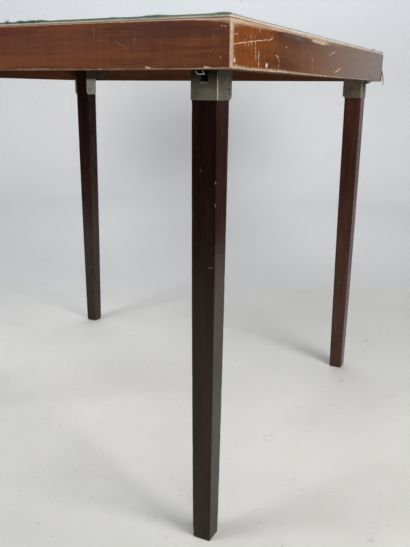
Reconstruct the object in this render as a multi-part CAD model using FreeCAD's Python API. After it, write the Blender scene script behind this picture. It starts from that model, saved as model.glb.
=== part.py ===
import FreeCAD, Part
import math
import os
from FreeCAD import Vector

# A folding bridge table: a felt-covered board on four mitred aprons, and four square tapered legs.
# Millimetres, +Z up, origin on the floor under the middle of the top.
# Each leg top sits in a bent steel socket that turns on a pin between the ears of a hinge bracket.
# The bracket is screwed to one apron, called the end apron here, and the leg folds along the next one,
# the side apron. The four corners follow each other round the table like the arms of a pinwheel.

# Top and frame
TOP_SIDE = 760.0
TABLE_HEIGHT = 682.0
FELT_THICKNESS = 1.5
BOARD_THICKNESS = 3.0
APRON_HEIGHT = 53.0
APRON_THICKNESS = 16.0
BATTEN_WIDTH = 60.0
BATTEN_THICKNESS = 8.0
BRAD_RADIUS = 0.7
BRAD_LENGTH = 16.0
BRAD_PLACE_SHARES = (0.14, 0.32, 0.5, 0.68, 0.86)

# Legs
LEG_WIDTH = 33.2
FOOT_WIDTH = 26.0
UPPER_TAPER_SHARE = 0.35
LEG_ARRIS_RADIUS = 0.8
LEG_SIDE_GAP = 11.0
LEG_ABOVE_PIVOT = 13.0

# Leg sockets, bent from sheet steel
SOCKET_SHEET = 1.2
SOCKET_BELOW_APRON = 33.0
SOCKET_PAST_WOOD = 4.0
SOCKET_BEND_CLEARANCE = 0.2
SOCKET_CORNER_CUT = 4.0
WINDOW_WIDTH = 10.0
WINDOW_BELOW_APRON = 12.5
WINDOW_ABOVE_APRON_EDGE = 1.5
WINDOW_LIP_HEIGHT = 2.0
WINDOW_LIP_PROUD = 1.2
MORTISE_END_GAP = 2.4
MORTISE_MARGIN = 0.5
NAIL_RADIUS = 0.8
NAIL_LENGTH = 9.0
NAIL_HEAD_RADIUS = 1.6
NAIL_HEAD_HEIGHT = 0.7
NAIL_FROM_OPEN_EDGE = 8.0
NAIL_RISES = (7.5, 12.0)

# Hinge brackets and pivot pins
BRACKET_SHEET = 2.0
BRACKET_SIDE_GAP = 0.3
BRACKET_ABOVE_APRON_EDGE = 2.5
BRACKET_BELOW_BOARD = 9.5
BRACKET_ABOVE_LEG = 7.0
BRACKET_TAB_LENGTH = 33.0
BRACKET_TAB_TOP_DROP = 4.0
EAR_RADIUS = 9.0
EAR_NECK_LENGTH = 12.0
EAR_ROOT_RISE = 3.0
STOP_GAP = 0.3
STOP_SIDE_GAP = 1.3
PIVOT_RADIUS = 3.0
PIVOT_FIT = 0.08
PIVOT_HEAD_RADIUS = 5.0
PIVOT_HEAD_HEIGHT = 1.8
SCREW_RADIUS = 1.6
SCREW_HEAD_RADIUS = 3.2
SCREW_TIP_COVER = 5.0
SCREW_SLOT_WIDTH = 0.9
SCREW_SLOT_DEPTH = 0.6
SCREW_EDGE = 5.0

# Spring catches
CATCH_SHEET = 0.9
CATCH_WIDTH = 9.4
CATCH_SWING_GAP = 1.4
CATCH_BACK_GAP = 1.3
CATCH_SIDE_GAP = 0.5
CATCH_PIN_RADIUS = 1.2
CATCH_PIN_FIT = 0.05
CATCH_PIN_END = 1.0
CATCH_LUG_SHEET = 1.5
CATCH_LUG_RADIUS = 3.0
CATCH_SLOT_ABOVE_PIN = 1.5
JOGGLE_START_DROP = 3.0
JOGGLE_END_DROP = 10.0
TONGUE_SIDE_GAP = 1.0
TONGUE_REACH = 2.8
TAB_TOP_DROP = 1.2
TAB_DEPTH = 3.7
TAB_REACH = 8.0
TAB_SLANT = 5.0
SPRING_SHEET = 0.4
SPRING_WIDTH = 7.0
SPRING_GAP = 0.3
SPRING_FOOT_DROP = 7.0
SPRING_FOOT_LENGTH = 5.0
SPRING_END_ABOVE_EDGE = 3.5
SPRING_END_GAP = 1.2
RIVET_RADIUS = 1.0
RIVET_HEAD_RADIUS = 1.7
RIVET_HEAD_HEIGHT = 0.45

# One overrun serves all cuts
OVERRUN = 1.0

# Levels above the floor
HALF_SIDE = TOP_SIDE / 2
BOARD_TOP = TABLE_HEIGHT - FELT_THICKNESS
APRON_TOP = BOARD_TOP - BOARD_THICKNESS
APRON_BOTTOM = APRON_TOP - APRON_HEIGHT
BRACKET_TOP = APRON_TOP - BRACKET_BELOW_BOARD
BRACKET_BOTTOM = APRON_BOTTOM + BRACKET_ABOVE_APRON_EDGE
LEG_TOP = BRACKET_TOP - BRACKET_ABOVE_LEG
PIVOT_LEVEL = LEG_TOP - LEG_ABOVE_PIVOT
SOCKET_BOTTOM = APRON_BOTTOM - SOCKET_BELOW_APRON
WINDOW_BOTTOM = APRON_BOTTOM - WINDOW_BELOW_APRON
WINDOW_TOP = APRON_BOTTOM + WINDOW_ABOVE_APRON_EDGE
TAB_TOP = APRON_BOTTOM - TAB_TOP_DROP
TAB_BOTTOM = TAB_TOP - TAB_DEPTH

# Places in one corner: u runs in from the side apron's outer face, v from the end apron's outer face.
# The catch, its spring and its rivet hang between the end apron and the swing of the socket's top edge,
# so they set how far in the pivot stands.
CATCH_OUTER_V = APRON_THICKNESS + CATCH_BACK_GAP + RIVET_HEAD_HEIGHT + SPRING_SHEET
CATCH_INNER_V = CATCH_OUTER_V + CATCH_SHEET
SWING_RADIUS = math.hypot(LEG_WIDTH / 2 + SOCKET_SHEET, LEG_ABOVE_PIVOT)
PIVOT_V = CATCH_INNER_V + CATCH_SWING_GAP + SWING_RADIUS
LEG_U = APRON_THICKNESS + LEG_SIDE_GAP
LEG_V = PIVOT_V - LEG_WIDTH / 2
LEG_FAR_U = LEG_U + LEG_WIDTH
LEG_FAR_V = LEG_V + LEG_WIDTH
LEG_MID_U = LEG_U + LEG_WIDTH / 2
SOCKET_U = LEG_U - SOCKET_SHEET
SOCKET_FAR_U = LEG_FAR_U + SOCKET_SHEET
SOCKET_V = LEG_V - SOCKET_SHEET
SOCKET_FAR_V = LEG_FAR_V + SOCKET_PAST_WOOD
EAR_U = SOCKET_U - BRACKET_SIDE_GAP - BRACKET_SHEET
EAR_FAR_U = SOCKET_FAR_U + BRACKET_SIDE_GAP + BRACKET_SHEET
BRACKET_V = APRON_THICKNESS + BRACKET_SHEET
TAB_FAR_U = EAR_FAR_U + BRACKET_TAB_LENGTH
CATCH_EYE_RADIUS = CATCH_PIN_RADIUS + CATCH_PIN_FIT
CATCH_BARREL_RADIUS = CATCH_EYE_RADIUS + CATCH_SHEET
CATCH_PIN_V = CATCH_OUTER_V + CATCH_BARREL_RADIUS
CATCH_PIN_LEVEL = LEG_TOP
CATCH_LOW_V = (APRON_THICKNESS + SOCKET_V - CATCH_SHEET) / 2
CATCH_U = LEG_MID_U - CATCH_WIDTH / 2
CATCH_FAR_U = LEG_MID_U + CATCH_WIDTH / 2
RIVET_LEVEL = CATCH_PIN_LEVEL - SPRING_FOOT_DROP - SPRING_FOOT_LENGTH / 2

# Bracket screws as places (u, z): two above the leg, half way between ear and catch lug, and two on the tab
UPPER_SCREW_U = (EAR_U + BRACKET_SHEET + CATCH_U - CATCH_SIDE_GAP - CATCH_LUG_SHEET) / 2
SCREW_PLACES = (
    (UPPER_SCREW_U, BRACKET_TOP - SCREW_EDGE),
    (LEG_MID_U * 2 - UPPER_SCREW_U, BRACKET_TOP - SCREW_EDGE),
    (TAB_FAR_U - SCREW_EDGE, BRACKET_BOTTOM + SCREW_EDGE),
    (TAB_FAR_U - BRACKET_TAB_LENGTH / 2, BRACKET_TOP - BRACKET_TAB_TOP_DROP - SCREW_EDGE),
)

CORNERS = ("front_right", "back_right", "back_left", "front_left")
SIDES = ("front", "right", "back", "left")
ACROSS = Vector(1, 0, 0)
INWARD = Vector(0, 1, 0)
UP = Vector(0, 0, 1)


def turn_angle(turns):
    """Quarter turns round the table, in degrees."""
    return math.degrees(math.tau) * turns / len(SIDES)


# Shapes placed in the front right corner

def block(u_low, u_high, v_low, v_high, z_low, z_high):
    """A box between two places in the corner."""
    low_corner = Vector(HALF_SIDE - u_high, v_low - HALF_SIDE, z_low)
    return Part.makeBox(u_high - u_low, v_high - v_low, z_high - z_low, low_corner)


def bar(v, z, radius, u_low, u_high):
    """A round bar that lies across the leg, along the pivot."""
    return Part.makeCylinder(radius, u_high - u_low, Vector(HALF_SIDE - u_high, v - HALF_SIDE, z), ACROSS)


def peg(u, z, radius, v_low, v_high):
    """A round peg that points in from the end apron."""
    return Part.makeCylinder(radius, v_high - v_low, Vector(HALF_SIDE - u, v_low - HALF_SIDE, z), INWARD)


def sheet_form(outline, u_low, u_high):
    """A profile of (v, z) points, extruded across the leg. A pair of points is an arc's middle and end."""
    def place(point):
        return Vector(HALF_SIDE - u_high, point[0] - HALF_SIDE, point[1])

    edges = []
    here = place(outline[0])
    for step in outline[1:] + outline[:1]:
        if isinstance(step[0], tuple):
            middle, end = place(step[0]), place(step[1])
            edges.append(Part.Arc(here, middle, end).toShape())
        else:
            end = place(step)
            edges.append(Part.LineSegment(here, end).toShape())
        here = end
    return Part.Face(Part.Wire(edges)).extrude(Vector(u_high - u_low, 0, 0))


def upright_edges(box):
    """The two upright edges of a box on its side towards the end apron."""
    middle = box.BoundBox.Center
    outer_edges = [edge for edge in box.Edges if edge.BoundBox.YMax < middle.y]
    return [edge for edge in outer_edges if edge.BoundBox.ZMin < middle.z < edge.BoundBox.ZMax]


def joined(first, *others):
    """One solid from touching shapes, with no seams left on its flat faces."""
    return first.fuse(list(others)).removeSplitter()


# Top

def flat_square(z_low, thickness):
    return Part.makeBox(TOP_SIDE, TOP_SIDE, thickness, Vector(-HALF_SIDE, -HALF_SIDE, z_low))


def brads():
    """The brads along the front edge of the board, flush with its upper face."""
    tip_y, tip_z = APRON_THICKNESS / 2 - HALF_SIDE, BOARD_TOP - BRAD_LENGTH
    tips = [Vector(share * TOP_SIDE - HALF_SIDE, tip_y, tip_z) for share in BRAD_PLACE_SHARES]
    return [Part.makeCylinder(BRAD_RADIUS, BRAD_LENGTH, tip, UP) for tip in tips]


def apron():
    """The front apron, mitred at both ends, with holes for the brads and for one hinge bracket's screws."""
    inner_half = HALF_SIDE - APRON_THICKNESS
    plan = [
        Vector(-HALF_SIDE, -HALF_SIDE, APRON_BOTTOM),
        Vector(HALF_SIDE, -HALF_SIDE, APRON_BOTTOM),
        Vector(inner_half, -inner_half, APRON_BOTTOM),
        Vector(-inner_half, -inner_half, APRON_BOTTOM),
    ]
    plank = Part.Face(Part.makePolygon(plan + plan[:1])).extrude(Vector(0, 0, APRON_HEIGHT))
    return plank.cut(brads() + [screw_blank(u, z) for u, z in SCREW_PLACES])


def batten():
    length = TOP_SIDE - APRON_THICKNESS * 2
    corner = Vector(-length / 2, -BATTEN_WIDTH / 2, APRON_TOP - BATTEN_THICKNESS)
    return Part.makeBox(length, BATTEN_WIDTH, BATTEN_THICKNESS, corner)


# Leg and socket

def rounded_square(width, level):
    """A square wire with rounded corners about the leg's middle line."""
    middle = Vector(HALF_SIDE - LEG_MID_U, PIVOT_V - HALF_SIDE, level)
    side = width / 2
    flat = side - LEG_ARRIS_RADIUS
    bulge = flat + LEG_ARRIS_RADIUS * math.sqrt(1 / 2)
    edges = []
    for turns in range(len(SIDES)):
        spin = FreeCAD.Rotation(UP, turn_angle(turns))
        corners = ((-flat, -side), (flat, -side), (bulge, -bulge), (side, -flat))
        start, end, round_middle, round_end = [middle + spin.multVec(Vector(x, y, 0)) for x, y in corners]
        edges.append(Part.LineSegment(start, end).toShape())
        edges.append(Part.Arc(end, round_middle, round_end).toShape())
    return Part.Wire(edges)


def window(margin, v_high):
    """The opening in the socket's base that the catch's tongue goes through."""
    half_width = WINDOW_WIDTH / 2 + margin
    return block(LEG_MID_U - half_width, LEG_MID_U + half_width, SOCKET_V - OVERRUN, v_high,
                 WINDOW_BOTTOM - margin, WINDOW_TOP + margin)


def pivot_hole():
    return bar(PIVOT_V, PIVOT_LEVEL, PIVOT_RADIUS + PIVOT_FIT, EAR_U, EAR_FAR_U)


def nails():
    """Two nails through each flange of the socket, near its open edge."""
    v = SOCKET_FAR_V - NAIL_FROM_OPEN_EDGE
    pieces = []
    for rise in NAIL_RISES:
        z = SOCKET_BOTTOM + rise
        near_shank = bar(v, z, NAIL_RADIUS, SOCKET_U, SOCKET_U + NAIL_LENGTH)
        near_head = bar(v, z, NAIL_HEAD_RADIUS, SOCKET_U - NAIL_HEAD_HEIGHT, SOCKET_U)
        far_shank = bar(v, z, NAIL_RADIUS, SOCKET_FAR_U - NAIL_LENGTH, SOCKET_FAR_U)
        far_head = bar(v, z, NAIL_HEAD_RADIUS, SOCKET_FAR_U, SOCKET_FAR_U + NAIL_HEAD_HEIGHT)
        pieces += [joined(near_shank, near_head), joined(far_shank, far_head)]
    return pieces


def leg():
    """The wooden leg: square inside the socket, tapering from there to the foot, faster in the lower half."""
    shoulder = rounded_square(LEG_WIDTH, SOCKET_BOTTOM)
    half_way = rounded_square(LEG_WIDTH - (LEG_WIDTH - FOOT_WIDTH) * UPPER_TAPER_SHARE, SOCKET_BOTTOM / 2)
    taper = Part.makeLoft([rounded_square(FOOT_WIDTH, 0), half_way, shoulder], True, True)
    head = Part.Face(shoulder).extrude(Vector(0, 0, LEG_TOP - SOCKET_BOTTOM))
    mortise = window(MORTISE_MARGIN, SOCKET_V + TONGUE_REACH + MORTISE_END_GAP)
    return joined(taper, head).cut([mortise, pivot_hole()] + nails())


def socket():
    """A channel bent round three sides of the leg, with the catch's window in its base."""
    outside = block(SOCKET_U, SOCKET_FAR_U, SOCKET_V, SOCKET_FAR_V, SOCKET_BOTTOM, LEG_TOP)
    inside = block(LEG_U, LEG_FAR_U, LEG_V, SOCKET_FAR_V + OVERRUN,
                   SOCKET_BOTTOM - OVERRUN, LEG_TOP + OVERRUN)
    inner_bend = LEG_ARRIS_RADIUS - SOCKET_BEND_CLEARANCE
    outside = outside.makeFillet(inner_bend + SOCKET_SHEET, upright_edges(outside))
    inside = inside.makeFillet(inner_bend, upright_edges(inside))
    corner = [
        (SOCKET_FAR_V - SOCKET_CORNER_CUT, SOCKET_BOTTOM),
        (SOCKET_FAR_V, SOCKET_BOTTOM),
        (SOCKET_FAR_V, SOCKET_BOTTOM + SOCKET_CORNER_CUT),
    ]
    corner_cut = sheet_form(corner, SOCKET_U, SOCKET_FAR_U)
    channel = outside.cut([inside, corner_cut, window(0, LEG_V + OVERRUN), pivot_hole()] + nails())
    lip = [
        (SOCKET_V, WINDOW_BOTTOM - WINDOW_LIP_HEIGHT),
        (SOCKET_V, WINDOW_BOTTOM),
        (SOCKET_V - WINDOW_LIP_PROUD, WINDOW_BOTTOM),
    ]
    half_width = WINDOW_WIDTH / 2
    return joined(channel, sheet_form(lip, LEG_MID_U - half_width, LEG_MID_U + half_width))


# Hinge bracket and its pin

def screw_blank(u, z):
    """A countersunk screw with a plain shank, its head flush with the bracket plate."""
    place = Vector(HALF_SIDE - u, BRACKET_V - HALF_SIDE, z)
    cone_length = SCREW_HEAD_RADIUS - SCREW_RADIUS
    head = Part.makeCone(SCREW_HEAD_RADIUS, SCREW_RADIUS, cone_length, place, -INWARD)
    return joined(head, peg(u, z, SCREW_RADIUS, SCREW_TIP_COVER, BRACKET_V - cone_length))


def screws():
    pieces = []
    for u, z in SCREW_PLACES:
        slot = block(u - SCREW_HEAD_RADIUS, u + SCREW_HEAD_RADIUS, BRACKET_V - SCREW_SLOT_DEPTH, BRACKET_V,
                     z - SCREW_SLOT_WIDTH / 2, z + SCREW_SLOT_WIDTH / 2)
        pieces.append(screw_blank(u, z).cut(slot))
    return pieces


def bracket_ear(u_low):
    """One ear of the bracket, rounded about the pivot."""
    neck_v = PIVOT_V - EAR_NECK_LENGTH
    low, high = PIVOT_LEVEL - EAR_RADIUS, PIVOT_LEVEL + EAR_RADIUS
    outline = [
        (APRON_THICKNESS, BRACKET_BOTTOM + EAR_ROOT_RISE),
        (neck_v, low),
        (PIVOT_V, low),
        ((PIVOT_V + EAR_RADIUS, PIVOT_LEVEL), (PIVOT_V, high)),
        (neck_v, high),
        (APRON_THICKNESS, BRACKET_TOP - EAR_ROOT_RISE),
    ]
    return sheet_form(outline, u_low, u_low + BRACKET_SHEET)


def catch_lug(u_low):
    u_high = u_low + CATCH_LUG_SHEET
    arm = block(u_low, u_high, APRON_THICKNESS, CATCH_PIN_V,
                CATCH_PIN_LEVEL - CATCH_LUG_RADIUS, CATCH_PIN_LEVEL + CATCH_LUG_RADIUS)
    return joined(arm, bar(CATCH_PIN_V, CATCH_PIN_LEVEL, CATCH_LUG_RADIUS, u_low, u_high))


def bracket():
    """A plate on the end apron with two ears for the pivot, two stops behind the leg and two catch lugs."""
    plate = block(EAR_U, EAR_FAR_U, APRON_THICKNESS, BRACKET_V, BRACKET_BOTTOM, BRACKET_TOP)
    tab = block(EAR_FAR_U, TAB_FAR_U, APRON_THICKNESS, BRACKET_V,
                BRACKET_BOTTOM, BRACKET_TOP - BRACKET_TAB_TOP_DROP)
    stop_width = CATCH_U - CATCH_SIDE_GAP - EAR_U - BRACKET_SHEET - STOP_SIDE_GAP * 2
    stops = [
        block(u, u + stop_width, APRON_THICKNESS, SOCKET_V - STOP_GAP,
              BRACKET_BOTTOM, BRACKET_BOTTOM + BRACKET_SHEET)
        for u in (EAR_U + BRACKET_SHEET + STOP_SIDE_GAP, CATCH_FAR_U + CATCH_SIDE_GAP + STOP_SIDE_GAP)
    ]
    lugs = [catch_lug(CATCH_U - CATCH_SIDE_GAP - CATCH_LUG_SHEET), catch_lug(CATCH_FAR_U + CATCH_SIDE_GAP)]
    ears = [bracket_ear(EAR_U), bracket_ear(EAR_FAR_U - BRACKET_SHEET)]
    slot = block(CATCH_U - CATCH_SIDE_GAP, CATCH_FAR_U + CATCH_SIDE_GAP, APRON_THICKNESS, BRACKET_V,
                 BRACKET_BOTTOM, CATCH_PIN_LEVEL + CATCH_SLOT_ABOVE_PIN)
    holes = [screw_blank(u, z) for u, z in SCREW_PLACES]
    holes.append(bar(PIVOT_V, PIVOT_LEVEL, PIVOT_RADIUS, EAR_U, EAR_FAR_U))
    holes.append(bar(CATCH_PIN_V, CATCH_PIN_LEVEL, CATCH_PIN_RADIUS, EAR_U, EAR_FAR_U))
    return joined(plate.cut(slot), tab, *stops, *lugs, *ears).cut(holes)


def pivot_pin():
    shank = bar(PIVOT_V, PIVOT_LEVEL, PIVOT_RADIUS, EAR_U, EAR_FAR_U)
    near_head = bar(PIVOT_V, PIVOT_LEVEL, PIVOT_HEAD_RADIUS, EAR_U - PIVOT_HEAD_HEIGHT, EAR_U)
    far_head = bar(PIVOT_V, PIVOT_LEVEL, PIVOT_HEAD_RADIUS, EAR_FAR_U, EAR_FAR_U + PIVOT_HEAD_HEIGHT)
    return joined(shank, near_head, far_head)


# Spring catch

def catch_lever():
    """A strip that hangs from its pin, with a tongue towards the socket and a finger trough outwards."""
    joggle_start, joggle_end = PIVOT_LEVEL - JOGGLE_START_DROP, PIVOT_LEVEL - JOGGLE_END_DROP
    low_inner_v = CATCH_LOW_V + CATCH_SHEET
    strip = sheet_form([
        (CATCH_OUTER_V, CATCH_PIN_LEVEL),
        (CATCH_OUTER_V, joggle_start),
        (CATCH_LOW_V, joggle_end),
        (CATCH_LOW_V, TAB_BOTTOM),
        (low_inner_v, TAB_BOTTOM),
        (low_inner_v, joggle_end),
        (CATCH_INNER_V, joggle_start),
        (CATCH_INNER_V, CATCH_PIN_LEVEL),
    ], CATCH_U, CATCH_FAR_U)
    barrel = bar(CATCH_PIN_V, CATCH_PIN_LEVEL, CATCH_BARREL_RADIUS, CATCH_U, CATCH_FAR_U)
    tongue_half = WINDOW_WIDTH / 2 - TONGUE_SIDE_GAP
    tongue = block(LEG_MID_U - tongue_half, LEG_MID_U + tongue_half, CATCH_LOW_V, SOCKET_V + TONGUE_REACH,
                   TAB_BOTTOM, TAB_BOTTOM + CATCH_SHEET)
    tab = sheet_form([
        (low_inner_v, TAB_BOTTOM),
        (CATCH_LOW_V - TAB_REACH + TAB_SLANT, TAB_BOTTOM),
        (CATCH_LOW_V - TAB_REACH, TAB_TOP),
        (low_inner_v, TAB_TOP),
    ], CATCH_U, CATCH_FAR_U)
    hollow = block(CATCH_U + CATCH_SHEET, CATCH_FAR_U - CATCH_SHEET, CATCH_LOW_V - TAB_REACH, CATCH_LOW_V,
                   TAB_BOTTOM + CATCH_SHEET, TAB_TOP)
    eye = bar(CATCH_PIN_V, CATCH_PIN_LEVEL, CATCH_EYE_RADIUS, CATCH_U, CATCH_FAR_U)
    rivet_hole = peg(LEG_MID_U, RIVET_LEVEL, RIVET_RADIUS, APRON_THICKNESS, SOCKET_V)
    return joined(strip, barrel, tongue, tab.cut(hollow)).cut([eye, rivet_hole])


def catch_pin():
    return bar(CATCH_PIN_V, CATCH_PIN_LEVEL, CATCH_PIN_RADIUS,
               CATCH_U - CATCH_SIDE_GAP - CATCH_LUG_SHEET - CATCH_PIN_END,
               CATCH_FAR_U + CATCH_SIDE_GAP + CATCH_LUG_SHEET + CATCH_PIN_END)


def catch_spring():
    """A bowed leaf on the lever's outer face, which leans on the end apron and pushes the tongue in."""
    foot_top = CATCH_PIN_LEVEL - SPRING_FOOT_DROP
    foot_bottom = foot_top - SPRING_FOOT_LENGTH
    end = APRON_BOTTOM + SPRING_END_ABOVE_EDGE
    belly = (foot_bottom + end) / 2
    outer_foot_v = CATCH_OUTER_V - SPRING_SHEET
    belly_v = APRON_THICKNESS + SPRING_GAP
    end_v = belly_v + SPRING_END_GAP
    leaf = sheet_form([
        (CATCH_OUTER_V, foot_top),
        (outer_foot_v, foot_top),
        (outer_foot_v, foot_bottom),
        ((belly_v, belly), (end_v, end)),
        (end_v + SPRING_SHEET, end),
        ((belly_v + SPRING_SHEET, belly), (CATCH_OUTER_V, foot_bottom)),
    ], LEG_MID_U - SPRING_WIDTH / 2, LEG_MID_U + SPRING_WIDTH / 2)
    return leaf.cut(peg(LEG_MID_U, RIVET_LEVEL, RIVET_RADIUS, APRON_THICKNESS, SOCKET_V))


def catch_rivet():
    low_v, high_v = CATCH_OUTER_V - SPRING_SHEET, CATCH_INNER_V
    shank = peg(LEG_MID_U, RIVET_LEVEL, RIVET_RADIUS, low_v, high_v)
    outer_head = peg(LEG_MID_U, RIVET_LEVEL, RIVET_HEAD_RADIUS, low_v - RIVET_HEAD_HEIGHT, low_v)
    inner_head = peg(LEG_MID_U, RIVET_LEVEL, RIVET_HEAD_RADIUS, high_v, high_v + RIVET_HEAD_HEIGHT)
    return joined(shank, outer_head, inner_head)


# All pieces, by node name

def turned(shape, turns):
    """A copy of a front or front right shape, moved round the table by quarter turns."""
    copy = shape.copy()
    copy.rotate(Vector(0, 0, 0), UP, turn_angle(turns))
    return copy


def build():
    front_brads = brads()
    all_brads = [turned(brad, turns) for turns in range(len(SIDES)) for brad in front_brads]
    nodes = {
        "felt_top": flat_square(BOARD_TOP, FELT_THICKNESS),
        "top_board": flat_square(APRON_TOP, BOARD_THICKNESS).cut(all_brads),
        "board_brads": Part.makeCompound(all_brads),
        "centre_batten": batten(),
    }
    front_apron = apron()
    for turns, side in enumerate(SIDES):
        nodes[side + "_apron"] = turned(front_apron, turns)
    corner_pieces = {
        "leg": leg(),
        "leg_socket": socket(),
        "socket_nails": Part.makeCompound(nails()),
        "hinge_bracket": bracket(),
        "bracket_screws": Part.makeCompound(screws()),
        "pivot_pin": pivot_pin(),
        "catch_lever": catch_lever(),
        "catch_pin": catch_pin(),
        "catch_spring": catch_spring(),
        "catch_rivet": catch_rivet(),
    }
    for turns, corner in enumerate(CORNERS):
        for piece, shape in corner_pieces.items():
            nodes[corner + "_" + piece] = turned(shape, turns)
    return nodes


os.makedirs("parts", exist_ok=True)
for node, shape in build().items():
    shape.exportStep("parts/" + node + ".step")
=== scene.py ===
import math
import random

import bmesh
import bpy
from mathutils import Matrix, Vector, noise


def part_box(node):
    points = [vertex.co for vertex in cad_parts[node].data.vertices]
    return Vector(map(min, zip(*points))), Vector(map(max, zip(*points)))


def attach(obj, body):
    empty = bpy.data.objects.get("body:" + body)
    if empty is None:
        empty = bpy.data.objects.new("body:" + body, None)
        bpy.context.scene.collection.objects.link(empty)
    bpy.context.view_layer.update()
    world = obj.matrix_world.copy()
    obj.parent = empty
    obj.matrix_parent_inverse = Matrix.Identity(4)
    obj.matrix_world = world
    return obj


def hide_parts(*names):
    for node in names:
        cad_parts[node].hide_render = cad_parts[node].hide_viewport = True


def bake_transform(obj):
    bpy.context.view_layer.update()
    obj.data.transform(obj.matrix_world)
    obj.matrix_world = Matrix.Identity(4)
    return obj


# A folding bridge table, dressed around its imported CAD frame. Metres, +Z up, origin on the floor.
# The four sides and the four corners follow each other round the table by quarter turns, so most
# pieces are made once, for the front side or the front right corner, and then turned.
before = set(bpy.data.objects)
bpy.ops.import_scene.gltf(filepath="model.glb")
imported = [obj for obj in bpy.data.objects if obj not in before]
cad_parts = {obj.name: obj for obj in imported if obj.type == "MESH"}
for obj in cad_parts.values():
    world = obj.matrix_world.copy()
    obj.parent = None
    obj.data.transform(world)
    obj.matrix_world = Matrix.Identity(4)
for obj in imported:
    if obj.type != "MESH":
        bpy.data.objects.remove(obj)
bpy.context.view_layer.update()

MM = 0.001
SIDES = ("front", "right", "back", "left")
CORNERS = ("front_right", "back_right", "back_left", "front_left")
UP = Vector((0, 0, 1))

# Sizes from the CAD frame
FELT_LOW, FELT_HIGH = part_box("felt_top")
BOARD_LOW, BOARD_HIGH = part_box("top_board")
APRON_LOW, APRON_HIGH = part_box("front_apron")
LEG_LOW, LEG_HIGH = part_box("front_right_leg")
SOCKET_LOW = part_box("front_right_leg_socket")[0]
SPRING_LOW, SPRING_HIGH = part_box("front_right_catch_spring")
HALF = FELT_HIGH.x
APRON_THICKNESS = APRON_HIGH.y - APRON_LOW.y

# The photograph's camera
CAMERA_PLACE = (0.6863, -1.0567, 0.6017)
CAMERA_YAW, CAMERA_PITCH, CAMERA_ROLL = 26.256, 15.447, 0.615
CAMERA_LENS = 43.44
CAMERA_SENSOR = 36.0


# Shader building

class Value:
    """A node's output, which adds, subtracts and multiplies like a number."""

    def __init__(self, finish, socket):
        self.finish = finish
        self.socket = socket

    def __add__(self, other):
        return self.finish.math("ADD", self, other)

    def __sub__(self, other):
        return self.finish.math("SUBTRACT", self, other)

    def __rsub__(self, other):
        return self.finish.math("SUBTRACT", other, self)

    def __mul__(self, other):
        return self.finish.math("MULTIPLY", self, other)

    def __abs__(self):
        return self.finish.math("ABSOLUTE", self)

    def most(self, other):
        return self.finish.math("MAXIMUM", self, other)

    def step(self, low, high, new_low=0.0, new_high=1.0):
        """A smooth step from low to high, onto new_low to new_high."""
        inputs = {"Value": self, "From Min": low, "From Max": high, "To Min": new_low, "To Max": new_high}
        return self.finish.add("ShaderNodeMapRange", inputs, interpolation_type="SMOOTHSTEP")


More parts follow.
